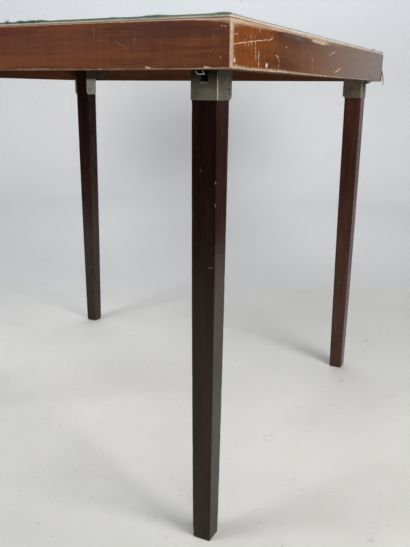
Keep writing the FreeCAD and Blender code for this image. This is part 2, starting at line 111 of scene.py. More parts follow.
class Finish:
    """A node material that ends in one Principled shader."""

    def __init__(self, name, turns=0):
        self.material = bpy.data.materials.new(name)
        self.material.use_nodes = True
        self.tree = self.material.node_tree
        self.surface = self.tree.nodes["Principled BSDF"]
        coordinates = self.add("ShaderNodeTexCoord", output="Object")
        spin = (0, 0, -turns * math.pi / 2)
        self.place = self.add("ShaderNodeMapping", {"Vector": coordinates, "Rotation": spin})
        self.lines_place = self.place

    def plug(self, socket, value):
        if isinstance(value, Value):
            self.tree.links.new(value.socket, socket)
        elif socket.type == "RGBA" and len(value) == 3:
            socket.default_value = (*value, 1)
        else:
            socket.default_value = value

    def add(self, kind, inputs=None, output=0, **settings):
        """One output of a new node. inputs and output go by name or number, settings are the node's own."""
        node = self.tree.nodes.new(kind)
        for setting, value in settings.items():
            setattr(node, setting, value)
        for socket, value in (inputs or {}).items():
            self.plug(node.inputs[socket], value)
        return Value(self, node.outputs[output])

    def done(self, colour, roughness, bump=None, **others):
        """Fills the shader's sockets, named with _ for a space. bump is height, strength and distance."""
        others.update(Base_Color=colour, Roughness=roughness)
        if bump:
            inputs = dict(zip(("Height", "Strength", "Distance"), bump))
            others["Normal"] = self.add("ShaderNodeBump", inputs)
        for name, value in others.items():
            self.plug(self.surface.inputs[name.replace("_", " ")], value)
        return self.material

    def math(self, operation, first, second=0.0, clamp=False):
        return self.add("ShaderNodeMath", {0: first, 1: second}, operation=operation, use_clamp=clamp)

    def vector(self, operation, first, second=(0, 0, 0), output="Vector"):
        return self.add("ShaderNodeVectorMath", {0: first, 1: second}, output, operation=operation)

    def noise(self, stretch, detail=3.0, roughness=0.55, distortion=0.0):
        """A noise with so many cycles a metre along each axis."""
        inputs = {"Vector": self.vector("MULTIPLY", self.place, stretch), "Scale": 1.0, "Detail": detail,
                  "Roughness": roughness, "Distortion": distortion}
        return self.add("ShaderNodeTexNoise", inputs)

    def ramp(self, value, *stops):
        """A colour from stops of (position, colour)."""
        colour = self.add("ShaderNodeValToRGB", {"Fac": value})
        elements = colour.socket.node.color_ramp.elements
        while len(elements) < len(stops):
            elements.new(0.5)
        for element, (position, tone) in zip(elements, stops):
            element.position = position
            element.color = (*tone, 1)
        return colour

    def mix(self, share, first, second, blend="MIX"):
        inputs = {0: share, 6: first, 7: second}
        return self.add("ShaderNodeMix", inputs, 2, data_type="RGBA", blend_type=blend)

    def shade(self, colour, share):
        """A colour made darker or lighter by a share."""
        grey = self.add("ShaderNodeCombineColor", {0: share, 1: share, 2: share})
        return self.mix(1.0, colour, grey, "MULTIPLY")

    def attribute(self, name):
        return self.add("ShaderNodeAttribute", output="Fac", attribute_name=name)

    def along(self, axis):
        return self.add("ShaderNodeSeparateXYZ", {0: self.place}, axis)

    def facing(self, direction):
        """1 on faces that look in a direction, -1 on those that look away from it."""
        normal = self.add("ShaderNodeTexCoord", output="Normal")
        return self.vector("DOT_PRODUCT", normal, direction, "Value")

    def scratch(self, start, end, width):
        """A mask that is 1 along the line from start to end, which are places in the turned frame."""
        line = Vector(end) - Vector(start)
        offset = self.vector("SUBTRACT", self.lines_place, start)
        share = self.vector("DOT_PRODUCT", offset, line / line.length_squared, "Value")
        share = self.math("MULTIPLY", share, 1.0, clamp=True)
        foot = self.add("ShaderNodeVectorMath", {0: line, "Scale": share}, operation="SCALE")
        return self.vector("DISTANCE", offset, foot, "Value").step(width, width / 3)

    def blob(self, centre, half_sizes):
        """A ragged mask about a place, 1 within the half sizes."""
        offset = self.vector("DIVIDE", self.vector("SUBTRACT", self.lines_place, centre), half_sizes)
        ragged = self.noise(tuple(1.4 / half for half in half_sizes), detail=6, roughness=0.75)
        away = self.vector("LENGTH", offset, output="Value") + ragged.step(0.3, 0.7, -0.6, 0.6)
        return away.step(1.1, 0.7)

    def shake_lines(self, scale, reach):
        """From here on, scratches wander off their straight line by up to reach."""
        inputs = {"Vector": self.place, "Scale": scale, "Detail": 3.0}
        swing = self.add("ShaderNodeTexNoise", inputs, "Color")
        swing = self.vector("SUBTRACT", swing, (0.5, 0.5, 0.5))
        swing = self.vector("MULTIPLY", swing, (2 * reach, 2 * reach, 2 * reach))
        self.lines_place = self.vector("ADD", self.place, swing)

    def edges(self, radius):
        """A mask that is 1 on sharp edges, from normals rounded over a radius."""
        rounded = self.add("ShaderNodeBevel", {"Radius": radius}, samples=6)
        plain = self.add("ShaderNodeNewGeometry", output="Normal")
        return self.vector("DOT_PRODUCT", rounded, plain, "Value").step(0.985, 0.86)


# Wood

BARE_WOOD_PALE = (0.41, 0.31, 0.212)
BARE_WOOD_DARK = (0.30, 0.17, 0.105)
PALE_FILLER = (0.60, 0.565, 0.495)
SCRATCHED_WOOD = (0.58, 0.41, 0.27)
SCUFFED_WOOD = (0.22, 0.12, 0.075)
APRON_TONES = ((0.066, 0.0235, 0.0155), (0.098, 0.0368, 0.0215), (0.132, 0.0515, 0.0255))
BLEACHED = (2.4, 1.8, 0.62)
# Greyish varnish haze, which is also painted as a sheen on the right apron
HAZE_AND_SHEEN = (0.165, 0.116, 0.08)
# How dark each apron's wood is, as a share of those tones
APRON_SHADE = {"front": 1.0, "right": 0.76, "back": 0.9, "left": 0.95}
RAW_UNDERSIDE = (0.060, 0.030, 0.019)
# Old varnish is yellow, and so are its reflections
WARM_GLOSS = (1.0, 0.90, 0.80, 1.0)
PATCH_DEPTH = 6 * MM


def fibres(grain, long, across):
    """Cycles a metre on each axis, for wood whose fibres follow the axis called grain."""
    return tuple(long if axis == grain else across for axis in range(3))


def wood_grain(finish, grain, tones):
    """Mahogany's colour, with long streaks and fine figure, and its pores."""
    streaks = finish.noise(fibres(grain, 5, 75), detail=4, distortion=0.5)
    figure = finish.noise(fibres(grain, 18, 420), detail=3)
    clouds = finish.noise(fibres(grain, 7, 22), detail=2)
    pores = finish.noise(fibres(grain, 90, 2200), detail=2)
    tone = streaks * 0.55 + figure * 0.2 + clouds * 0.25
    colour = finish.ramp(tone, *zip((0.34, 0.5, 0.66), tones))
    return finish.shade(colour, pores.step(0.56, 0.72, 1.0, 0.72)), pores


def bare_wood(finish, grain):
    streaks = finish.noise(fibres(grain, 20, 300), detail=4)
    return finish.ramp(streaks, (0.3, BARE_WOOD_DARK), (0.62, BARE_WOOD_PALE))


def apron_finish(side, scratches):
    """Worn varnish on mahogany. Scratches and patches lie on the outer face, as (along, height) in mm."""
    finish = Finish(side + "_apron_mahogany", SIDES.index(side))
    finish.shake_lines(150, 0.9 * MM)
    colour, pores = wood_grain(finish, 0, [Vector(tone) * APRON_SHADE[side] for tone in APRON_TONES])
    # Faint runs in the varnish, down the face
    colour = finish.shade(colour, finish.noise((170, 170, 8)).step(0.3, 0.7, 0.92, 1.08))
    # The varnish is more orange, and mottled, where light has bleached it
    mottled = finish.noise((120, 120, 90), detail=4, roughness=0.65).step(0.35, 0.65, 0.65, 1.0)
    bleach = finish.attribute("bleach")
    colour = finish.mix(bleach * mottled, colour, finish.mix(1.0, colour, BLEACHED, "MULTIPLY"))
    # Varnish haze, and on the right apron a painted greyish sheen towards its back end
    colour = finish.mix(finish.attribute("haze_and_sheen"), colour, HAZE_AND_SHEEN)
    for (along, height), (half_length, half_height), tint, share in PATCHES[side]:
        place = (along * MM, -HALF, height * MM)
        patch = finish.blob(place, (half_length * MM, PATCH_DEPTH, half_height * MM))
        colour = finish.mix(patch * share, colour, tint)
    # Fine rubbing marks along the grain and drips across it
    rubbed = finish.noise((35, 35, 900), detail=2).step(0.66, 0.75)
    rubbed *= finish.noise((9, 9, 14)).step(0.45, 0.7, 0.0, 0.14)
    drips = finish.noise((330, 330, 34)).step(0.62, 0.74) * bleach.step(0.15, 1.0, 0.03, 0.22)
    drips *= finish.along("Z").step(0.671, 0.655, 0.3, 1.0)
    marks = rubbed.most(drips)
    broken = finish.noise((210, 210, 330)).step(0.36, 0.58, 0.15, 1.0)
    for start, end, half_width, share in scratches:
        ends = [(along * MM, -HALF, height * MM) for along, height in (start, end)]
        marks = marks.most(finish.scratch(*ends, half_width * MM) * (broken * share))
    colour = finish.mix(marks, colour, SCRATCHED_WOOD)
    # Thin varnish, and then bare wood, where the wear attribute, broken up by noise, is high
    wear = finish.attribute("wear") + finish.noise((150, 150, 300), detail=6, roughness=0.7) * 1.1
    worn = wear.step(0.95, 1.25)
    colour = finish.mix(wear.step(0.72, 1.0, 0.0, 0.75), colour, BARE_WOOD_DARK)
    colour = finish.mix(worn, colour, bare_wood(finish, 0))
    # The underside was never varnished
    underside = finish.facing(UP).step(-0.2, -0.6)
    colour = finish.mix(underside * 0.85, colour, RAW_UNDERSIDE)
    bare = worn.most(marks.most(underside))
    roughness = finish.noise((14, 14, 60), detail=4).step(0.3, 0.7, 0.11, 0.18)
    roughness = roughness.most(bare * 0.75).most(underside)
    bump = (pores * 0.3 - bare, 0.35, 0.0004)
    return finish.done(colour, roughness, bump, Specular_IOR_Level=0.5, Specular_Tint=WARM_GLOSS)


def leg_finish(corner):
    """Dark varnished mahogany with pale arrises, chips and a rubbed foot, with painted light and shade on its
    faces.
    """
    finish = Finish(corner + "_leg_mahogany")
    colour, pores = wood_grain(finish, 2, LEG_TONES[corner])
    # Painted light and shade: the face towards +X made lighter or darker than the others
    right_face_light, other_faces_light = LEG_FACE_PAINTED_LIGHT[corner]
    colour = finish.shade(colour, finish.facing((1, 0, 0)).step(0.4, 0.8, other_faces_light, right_face_light))
    scuffs = finish.noise((420, 420, 26)).step(0.67, 0.75)
    scuffs *= finish.noise((16, 16, 7)).step(0.5, 0.7, 0.0, 0.3)
    colour = finish.mix(scuffs, colour, SCUFFED_WOOD)
    wear = finish.attribute("wear") + finish.noise((330, 330, 110), detail=5, roughness=0.65) * 0.9
    worn = wear.step(0.9, 1.08)
    finish.shake_lines(500, 0.5 * MM)
    for face, start, end, half_width in LEG_CHIPS[corner]:
        ends = [leg_place(corner, face, *spot) for spot in (start, end)]
        worn = worn.most(finish.scratch(*ends, half_width * MM) * CHIP_SHARE)
    colour = finish.mix(worn, colour, bare_wood(finish, 2))
    roughness = finish.noise((40, 40, 9), detail=4).step(0.3, 0.7, 0.2, 0.32).most(worn * 0.7)
    bump = (pores * 0.35 - worn, 0.3, 0.0003)
    return finish.done(colour, roughness, bump, Specular_IOR_Level=0.36, Specular_Tint=WARM_GLOSS)


BOARD_DARK, BOARD_LIGHT = (0.37, 0.30, 0.225), (0.58, 0.50, 0.39)
BOARD_CORE_DARK, BOARD_CORE_LIGHT = (0.31, 0.25, 0.185), (0.48, 0.41, 0.315)
BOARD_DUSTY = (0.57, 0.56, 0.53)
BOARD_DIRT = (0.20, 0.16, 0.125)
JOINT_BROWN = (0.17, 0.088, 0.05)


def board_wood():
    """The board's pale edge shows its plies and the dark joint below it, its lower face plain veneer."""
    finish = Finish("top_board")
    height = finish.along("Z")
    core = abs(height - (BOARD_LOW.z + BOARD_HIGH.z) / 2).step(0.7 * MM, 0.4 * MM)
    figure = finish.noise((14, 120, 120), detail=5)
    face = finish.ramp(figure, (0.3, BOARD_DARK), (0.7, BOARD_LIGHT))
    end_grain = finish.noise((260, 260, 800), detail=4)
    end_grain = finish.ramp(end_grain, (0.3, BOARD_CORE_DARK), (0.7, BOARD_CORE_LIGHT))
    colour = finish.mix(core, face, end_grain)
    dust = finish.noise((60, 60, 200), detail=4).step(0.3, 0.6, 0.4, 0.95)
    colour = finish.mix(finish.attribute("dusty") * dust, colour, BOARD_DUSTY)
    dirt = finish.noise((26, 26, 60), detail=5, roughness=0.7).step(0.5, 0.75, 0.0, 0.5)
    colour = finish.mix(dirt, colour, BOARD_DIRT)
    joint = height.step(BOARD_LOW.z + 1.3 * MM, BOARD_LOW.z + 0.6 * MM)
    colour = finish.mix(joint * finish.attribute("joint"), colour, JOINT_BROWN)
    bump = (finish.noise((60, 500, 500)), 0.2, 0.0003)
    return finish.done(colour, figure.step(0.3, 0.7, 0.62, 0.8), bump)


BATTEN_TONES = ((0.36, (0.26, 0.165, 0.085)), (0.5, (0.40, 0.285, 0.165)), (0.66, (0.50, 0.38, 0.24)))
BATTEN_DIRT = (0.14, 0.09, 0.055)


def batten_wood():
    """Sawn softwood, browned with age."""
    finish = Finish("batten_wood")
    rings = finish.noise((3, 85, 40), detail=5, distortion=0.8)
    dirt = finish.noise((12, 16, 16), detail=4, roughness=0.7).step(0.5, 0.72, 0.0, 0.5)
    colour = finish.mix(dirt, finish.ramp(rings, *BATTEN_TONES), BATTEN_DIRT)
    bump = (finish.noise((260, 40, 40)), 0.25, 0.0004)
    return finish.done(colour, rings.step(0.3, 0.7, 0.6, 0.78), bump)


SLIVER_STAIN = (0.15, 0.12, 0.095)
SLIVER_TIP = (0.06, 0.05, 0.04)


def sliver_wood():
    """Bare torn wood, stained, and dark below the frame's corner."""
    finish = Finish("sliver_wood")
    stain = finish.noise((300, 300, 90), detail=4).step(0.35, 0.6, 0.4, 0.9)
    colour = finish.mix(stain, bare_wood(finish, 2), SLIVER_STAIN)
    colour = finish.mix(finish.along("Z").step(0.637, 0.629, 0.0, 0.85), colour, SLIVER_TIP)
    bump = (finish.noise((900, 900, 200)), 0.3, 0.0003)
    return finish.done(colour, stain.step(0.2, 0.85, 0.8, 0.55), bump)


# Metal

# Plate tones: dull olive for the front sockets, and two paler ones for the back sockets, which are painted
# light from the right
DULL_PLATE = ((0.118, 0.106, 0.074), (0.205, 0.187, 0.138), (0.315, 0.292, 0.228))
LIT_PLATE = ((0.215, 0.172, 0.118), (0.355, 0.29, 0.205), (0.58, 0.52, 0.42))
BRIGHT_PLATE = ((0.42, 0.40, 0.33), (0.62, 0.60, 0.52), (0.80, 0.78, 0.70))
BRACKET_TONES = ((0.075, 0.052, 0.038), (0.13, 0.092, 0.068), (0.20, 0.155, 0.115))
# The plate on each corner's socket: tones, how metallic it still is, and how strong the painted shade under
# the frame's lower edge is on its base and on its flanges. The paler tones at the back corners are painted
# light from the right.
SOCKET_PLATES = {
    "front_right": (DULL_PLATE, 0.65, 0.88, 0.2), "back_right": (LIT_PLATE, 0.92, 0.2, 0.3),
    "back_left": (BRIGHT_PLATE, 0.15, 0.6, 0.95), "front_left": (DULL_PLATE, 0.7, 0.8, 0.5),
}
# Pale plate where it is rubbed, which also paints a highlight along each bend
RUBBED_AND_HIGHLIT_PLATE = (0.28, 0.27, 0.22)
RUST = (0.06, 0.05, 0.032)
# Dirt on ledges, and painted shade under the frame's lower edge
GRIME_AND_SHADE = (0.030, 0.026, 0.020)
# The upward share of the normal on the lip under the socket's window, and on the slanted cut ends of the
# catch's finger trough
LIP_SLOPE = -0.51
TROUGH_SLOPE = -0.8
CATCH_TONES = ((0.35, (0.012, 0.010, 0.008)), (0.65, (0.05, 0.043, 0.035)))
CATCH_EDGE, CATCH_CUT = (0.5, 0.47, 0.42), (0.60, 0.54, 0.46)
FASTENER_TONES = ((0.35, (0.028, 0.020, 0.013)), (0.65, (0.11, 0.092, 0.070)))
FASTENER_EDGE = (0.5, 0.46, 0.38)


def plated_steel(name, turns, tones, metallic, base_shade, flange_shade, rubbed):
    """Old nickel plate gone dull and olive, paler where it is rubbed, with a painted highlight along each
    bend, painted shade under the frame's lower edge and dirt on its ledges.

    turns is the corner's count of quarter turns, which tells the socket's base from its flanges.
    """
    finish = Finish(name)
    stains = finish.noise((45, 45, 60), detail=6, roughness=0.65)
    spots = finish.noise((420, 420, 420)).step(0.66, 0.76, 0.0, 0.45)
    colour = finish.mix(spots, finish.ramp(stains, *zip((0.3, 0.5, 0.7), tones)), RUST)
    # Painted highlight along each bend of the plate, where the normal lies between X and Y, and paler rubbing
    # on sharp edges; rubbed scales both
    bends = abs(finish.facing((1, 0, 0)) * finish.facing((0, 1, 0)))
    bright = bends.step(0.2, 0.45).most(finish.edges(0.9 * MM) * 0.2)
    bright *= stains.step(0.25, 0.6, 0.5 * rubbed, rubbed)
    colour = finish.mix(bright, colour, RUBBED_AND_HIGHLIT_PLATE)
    # Painted shade under the frame's lower edge, on the base and on the flanges by the shares given, and dirt
    # on upward ledges and on the lip under the window
    ragged = finish.along("Z") + stains * 0.012
    low_edge = APRON_LOW.z + 6 * MM
    shade_on_base = ragged.step(low_edge - 22 * MM, low_edge - 1 * MM, 0.0, base_shade)
    shade_on_base *= ragged.step(low_edge + 12 * MM, low_edge + 30 * MM, 1.0, 0.4)
    shade_on_flange = ragged.step(low_edge - 3 * MM, low_edge + 5 * MM, 0.0, flange_shade)
    base = finish.facing(turned([(0, -1, 0)], turns)[0]).step(0.2, 0.7)
    upward = finish.facing(UP)
    on_ledges = upward.step(0.5, 0.8, 0.0, 0.8).most(abs(upward - LIP_SLOPE).step(0.15, 0.08, 0.0, 0.55))
    grime_and_shade = on_ledges.most(shade_on_base * base + shade_on_flange * (1.0 - base))
    colour = finish.mix(grime_and_shade, colour, GRIME_AND_SHADE)
    bump = (finish.noise((900, 900, 900), detail=2), 0.06, 0.0002)
    return finish.done(colour, stains.step(0.3, 0.7, 0.42, 0.3), bump, Metallic=metallic)


def catch_steel():
    """Blackened spring steel, bare on the cut ends of the finger trough and a little along its edges."""
    finish = Finish("catch_steel")
    stains = finish.noise((160, 160, 160), detail=5, roughness=0.7)
    colour = finish.mix(finish.edges(0.5 * MM) * 0.25, finish.ramp(stains, *CATCH_TONES), CATCH_EDGE)
    cut_ends = abs(finish.facing(UP) - TROUGH_SLOPE).step(0.16, 0.08)
    colour = finish.mix(cut_ends, colour, CATCH_CUT)
    return finish.done(colour, stains.step(0.3, 0.7, 0.6, 0.45), (stains, 0.1, 0.0002), Metallic=0.7)


def fastener_steel():
    """Nails, screws, pins and rivets: brown with age, with bright rims."""
    finish = Finish("fasteners")
    stains = finish.noise((500, 500, 500), detail=4, roughness=0.7)
    colour = finish.mix(finish.edges(0.6 * MM) * 0.4, finish.ramp(stains, *FASTENER_TONES), FASTENER_EDGE)
    return finish.done(colour, stains.step(0.3, 0.7, 0.6, 0.4), (stains, 0.15, 0.0002), Metallic=0.75)


# Felt and studio sheet

FELT_TONES = ((0.34, (0.009, 0.040, 0.020)), (0.5, (0.024, 0.095, 0.048)), (0.66, (0.060, 0.175, 0.095)))
# Painted light on the loose wool at the edge, as if lit through from behind
FELT_LOOSE_LIT = (1.25, 1.15, 1.3)
FELT_FADED = (0.30, 0.31, 0.245)
FELT_RUBBED = (0.085, 0.175, 0.092)
FELT_STAIN = (0.014, 0.045, 0.022)
# Where the players' hands lie: distance from the top's middle, and half sizes along, across and down
FELT_HANDS = 0.235
HANDS_LONG, HANDS_WIDE, HANDS_DEEP = 0.19, 0.085, 0.05


def green_felt():
    """Baize: matted wool with a nap, a little faded and rubbed, most along its edge, and painted light on the
    loose wool there.
    """
    finish = Finish("green_felt")
    wool = finish.noise((620, 620, 620), detail=5, roughness=0.7)
    nap = finish.noise((190, 240, 200), detail=4, roughness=0.65)
    tone = wool * 0.6 + nap * 0.4
    worn = finish.noise((4.5, 4.5, 4.5), detail=4).step(0.42, 0.72, 0.0, 0.4)
    # The nap is rubbed pale where the players' hands lie, before the middle of each side
    for turns in range(4):
        centre = turned([(0, -FELT_HANDS, FELT_HIGH.z)], turns)[0]
        lengths = (HANDS_WIDE, HANDS_LONG) if turns % 2 else (HANDS_LONG, HANDS_WIDE)
        worn += finish.blob(centre, (*lengths, HANDS_DEEP)) * 0.2
    colour = finish.mix(worn, finish.ramp(tone, *FELT_TONES), FELT_RUBBED)
    stained = finish.noise((11, 9, 10), detail=5, roughness=0.7, distortion=0.6).step(0.58, 0.72, 0.0, 0.55)
    colour = finish.mix(stained, colour, FELT_STAIN)
    # Painted light: the loose wool at the edge and the fray made lighter
    colour = finish.mix(finish.attribute("loose"), colour, finish.mix(1.0, colour, FELT_LOOSE_LIT, "MULTIPLY"))
    colour = finish.mix(finish.attribute("fade") * wool.step(0.3, 0.65, 0.65, 1.0), colour, FELT_FADED)
    sheen = {"Specular_IOR_Level": 0.2, "Sheen_Weight": 0.12, "Sheen_Roughness": 0.5}
    return finish.done(colour, 0.95, (tone, 0.6, 0.0009), **sheen)


SHEET_TONES = ((0.3, (0.57, 0.57, 0.55)), (0.7, (0.635, 0.635, 0.615)))
WALL_TONE = (0.602, 0.606, 0.618)
SPECK_TONE = (0.30, 0.29, 0.27)
# Painted shadows of the table on the wall and the cove behind it: centre, half sizes and strength, in metres
# along the room's own axes, which are turned by STUDIO_TURN degrees from the table's
STUDIO_TURN = 26.256
STUDIO_PAINTED_SHADOWS = (((0.06, 3.1, 0.32), (0.85, 1.5, 0.62), 0.40), ((0.18, 1.6, 0.0), (0.55, 1.5, 0.6), 0.24))


def studio_sheet():
    """Pale grey sheet with a faint mottle, specks and hairlines, bluish where it rises to the wall, with a
    painted pool of light round the table and painted shadows of the table behind it.
    """
    finish = Finish("studio_floor", STUDIO_TURN / 90)
    mottle = finish.noise((5, 5, 5), detail=5, roughness=0.6)
    ahead = finish.along("Y")
    wall = finish.along("Z").step(0.1, 1.1).most(ahead.step(0.74, 0.84, 0.0, 0.6))
    colour = finish.mix(wall, finish.ramp(mottle, *SHEET_TONES), WALL_TONE)
    # Painted light: lighter about the table, dimmer in front of it and towards the wall
    colour = finish.shade(colour, ahead.step(-0.55, -0.1, 0.94, 1.13))
    colour = finish.shade(colour, ahead.step(0.1, 0.75, 1.0, 0.91))
    # Painted shadows of the table on the wall and the cove behind it
    for centre, half_sizes, strength in STUDIO_PAINTED_SHADOWS:
        offset = finish.vector("DIVIDE", finish.vector("SUBTRACT", finish.place, centre), half_sizes)
        away = finish.vector("LENGTH", offset, output="Value")
        colour = finish.shade(colour, away.step(0.0, 1.0, 1 - strength, 1.0))
    specks = finish.noise((110, 110, 110), detail=1).step(0.725, 0.76, 0.0, 0.5)
    hairs = abs(finish.noise((13, 13, 13), detail=2) - 0.5).step(0.007, 0.002)
    hairs *= finish.noise((21, 21, 21), detail=1).step(0.62, 0.68, 0.0, 0.3)
    colour = finish.mix(specks.most(hairs), colour, SPECK_TONE)
    return finish.done(colour, mottle.step(0.3, 0.7, 0.55, 0.7))


# Meshes

WOOD_SHARP = 50
FRAME_BODY = "table_frame"


def quarter_turn(turns, size=3):
    return Matrix.Rotation(turns * math.pi / 2, size, "Z")


def turned(points, turns):
    spin = quarter_turn(turns)
    return [spin @ Vector(point) for point in points]


def loft(rings):
    """Points and faces of a skin over rings of equal count, closed at both ends."""
    count = len(rings[0])
    points = [point for ring in rings for point in ring]
    faces = []
    for row in range(len(rings) - 1):
        low, high = row * count, (row + 1) * count
        for here in range(count):
            after = (here + 1) % count
            faces.append((low + here, low + after, high + after, high + here))
    last = (len(rings) - 1) * count
    faces.append(tuple(reversed(range(count))))
    faces.append(tuple(range(last, last + count)))
    return points, faces


def ring_about(middle, across, through, count):
    """Points of an ellipse about a middle, from its two half axes."""
    angles = [math.tau * index / count for index in range(count)]
    return [middle + math.cos(angle) * across + math.sin(angle) * through for angle in angles]


def piece(name, shape, material, sharp, attributes=None, turns=0):
    """A new object from points and faces, smooth but for edges sharper than so many degrees."""
    points, faces = shape
    mesh = bpy.data.meshes.new(name)
    mesh.from_pydata(turned(points, turns), [], faces)
    for attribute, values in (attributes or {}).items():
        mesh.attributes.new(attribute, "FLOAT", "POINT").data.foreach_set("value", values)
    shell = bmesh.new()
    shell.from_mesh(mesh)
    bmesh.ops.recalc_face_normals(shell, faces=shell.faces)
    shell.to_mesh(mesh)
    shell.free()
    mesh.polygons.foreach_set("use_smooth", [True] * len(mesh.polygons))
    mesh.set_sharp_from_angle(angle=math.radians(sharp))
    mesh.materials.append(material)
    made = bpy.data.objects.new(name, mesh)
    bpy.context.collection.objects.link(made)
    return made


def settle(made, body, node=None):
    """Says which body a piece rides on and which node it stands for."""
    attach(made, body)
    if node:
        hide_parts(node)
    return made


def ripple(x, y, z, seed):
    """Smooth noise from -1 to 1 at a place, different for each seed."""
    return noise.noise(Vector((x, y, z)) + Vector((17.3, 5.1, 9.7)) * seed)


def flat_ripple(point, row, wave, seed):
    """Such noise over the top, in waves of a length."""
    return ripple(point.x / wave, point.y / wave, row, seed)


def between(table, place):
    """The value at a place, from a table of (place, value) rows in rising order."""
    for (low, low_value), (high, high_value) in zip(table, table[1:]):
        if place <= high:
            share = max(0.0, (place - low) / (high - low))
            return low_value + (high_value - low_value) * share
    return table[-1][1]


# Aprons: how far bare wood reaches in from each edge, in mm, at places along the side in mm.
# Along runs from the left end of a side to its right end, as seen from outside.

TOP_WEAR = {
    "front": ((-380, 5.0), (-330, 1.6), (0, 0.9), (220, 1.1), (290, 1.6), (335, 2.8), (362, 5.6), (380, 9.0)),
    "right": (
        (-380, 14), (-352, 9.0), (-290, 7.0), (-210, 4.0), (-90, 4.6), (-20, 3.6), (60, 1.8), (380, 1.2),
    ),
    "back": ((-380, 6.0), (-335, 3.0), (-120, 2.0), (-60, 4.4), (40, 1.8), (290, 2.6), (380, 7.0)),
    "left": ((-380, 7.0), (-330, 3.2), (0, 2.0), (160, 3.8), (210, 1.8), (320, 3.0), (380, 6.0)),
}
BOTTOM_WEAR = {
    "front": (
        (-380, 5.0), (-300, 2.0), (60, 1.1), (90, 1.4), (140, 1.3), (265, 1.3), (280, 2.6), (300, 1.6),
        (380, 3.2),
    ),
    "right": ((-380, 9.0), (-330, 6.0), (-250, 6.6), (-100, 4.2), (60, 3.2), (200, 2.0), (380, 2.4)),
    "back": ((-380, 4.0), (-200, 1.8), (-150, 4.0), (-100, 1.8), (220, 2.4), (380, 5.0)),
    "left": ((-380, 5.0), (-260, 2.0), (40, 3.6), (90, 1.8), (330, 2.4), (380, 5.0)),
}
# And from the left and the right end of each side
END_WEAR = {"front": (4.0, 1.4), "right": (13.0, 2.0), "back": (4.5, 3.5), "left": (5.0, 4.0)}
# How far the varnish is bleached towards orange, at places along the side
BLEACH = {
    "front": ((-380, 0.25), (0, 0.15), (150, 0.2), (300, 0.12), (380, 0.2)),
    "right": (
        (-380, 0.95), (-310, 0.9), (-270, 0.6), (-230, 0.3), (-190, 0.2), (-140, 0.4), (-80, 0.6),
        (0, 0.6), (120, 0.4), (380, 0.2),
    ),
    "back": ((-380, 0.3), (0, 0.2), (380, 0.45)),
    "left": ((-380, 0.5), (-200, 0.2), (380, 0.25)),
}
# How far it has gone hazy at places along the side; on the right apron this is also a painted greyish sheen
# towards its back end
HAZE_AND_SHEEN_ALONG = {
    "front": ((-380, 0.0), (380, 0.0)),
    "right": ((-200, 0.0), (-140, 0.15), (-60, 0.28), (60, 0.36), (240, 0.3), (380, 0.2)),
    "back": ((-380, 0.2), (-100, 0.0), (380, 0.1)),
    "left": ((-380, 0.1), (-150, 0.0), (380, 0.15)),
}
# Scratches on the outer faces: from, to (along and height in mm), half width in mm, strength
SCRATCHES = {
    "front": [
        ((274.6, 627.7), (282.6, 625.4), 1.3, 0.9),
        ((349.0, 626.9), (357.5, 625.6), 1.7, 0.9), ((368.5, 669.2), (374.5, 668.6), 0.9, 0.4),
        ((233.0, 657.3), (245.2, 649.4), 0.7, 0.14), ((259.0, 658.3), (259.0, 654.5), 0.8, 0.3),
        ((203.9, 670.1), (205.1, 662.3), 0.8, 0.2), ((353.7, 639.2), (354.2, 638.4), 1.0, 0.2),
        ((368.2, 637.5), (368.6, 636.8), 1.0, 0.45), ((359.4, 658.6), (360.2, 658.2), 0.9, 0.2),
        ((84.9, 626.0), (136.0, 626.0), 0.9, 0.3),
        ((-210.0, 655.0), (-120.0, 648.0), 0.7, 0.35), ((-320.0, 640.0), (-316.0, 663.0), 0.8, 0.4),
    ],
    "right": [
        ((-373.2, 650.8), (-258.4, 663.6), 0.62, 1.0), ((-270.0, 660.6), (-255.1, 665.4), 0.9, 0.8),
        ((-325.6, 664.5), (-321.0, 651.7), 0.9, 0.75), ((-313.0, 664.1), (-306.5, 633.7), 0.9, 0.75),
        ((-299.2, 646.3), (-299.2, 628.3), 1.1, 0.95), ((-240.8, 645.9), (-229.5, 640.4), 1.1, 0.9),
        ((-229.5, 640.4), (-231.9, 630.6), 0.9, 0.75), ((-373.2, 660.9), (-361.0, 662.2), 1.0, 0.6),
        ((-343.1, 657.7), (-339.8, 651.0), 0.8, 0.6), ((-333.0, 655.2), (-328.3, 650.7), 0.8, 0.7),
        ((-300.2, 675.5), (-296.6, 667.9), 0.9, 0.7), ((-7.0, 657.6), (19.7, 663.5), 1.4, 0.75),
        ((26.7, 632.6), (66.8, 640.4), 1.8, 0.8), ((-94.2, 649.1), (-88.9, 632.7), 0.8, 0.45),
        ((-25.9, 631.8), (-23.6, 626.0), 1.0, 0.7), ((-205.5, 657.5), (-204.5, 656.9), 1.3, 0.9),
        ((190.0, 668.0), (191.5, 640.0), 0.9, 0.3), ((250.0, 640.0), (330.0, 646.0), 0.8, 0.25),
    ],
}
DARK_VARNISH = (0.052, 0.024, 0.022)
DULL_VARNISH = (0.090, 0.040, 0.030)
ORANGE_VARNISH = (0.150, 0.056, 0.025)
RED_VARNISH = (0.085, 0.022, 0.022)
BLUE_BLOOM = (0.085, 0.092, 0.100)
PALE_PATCH = (0.50, 0.40, 0.30)
GREY_PATCH = (0.16, 0.14, 0.12)
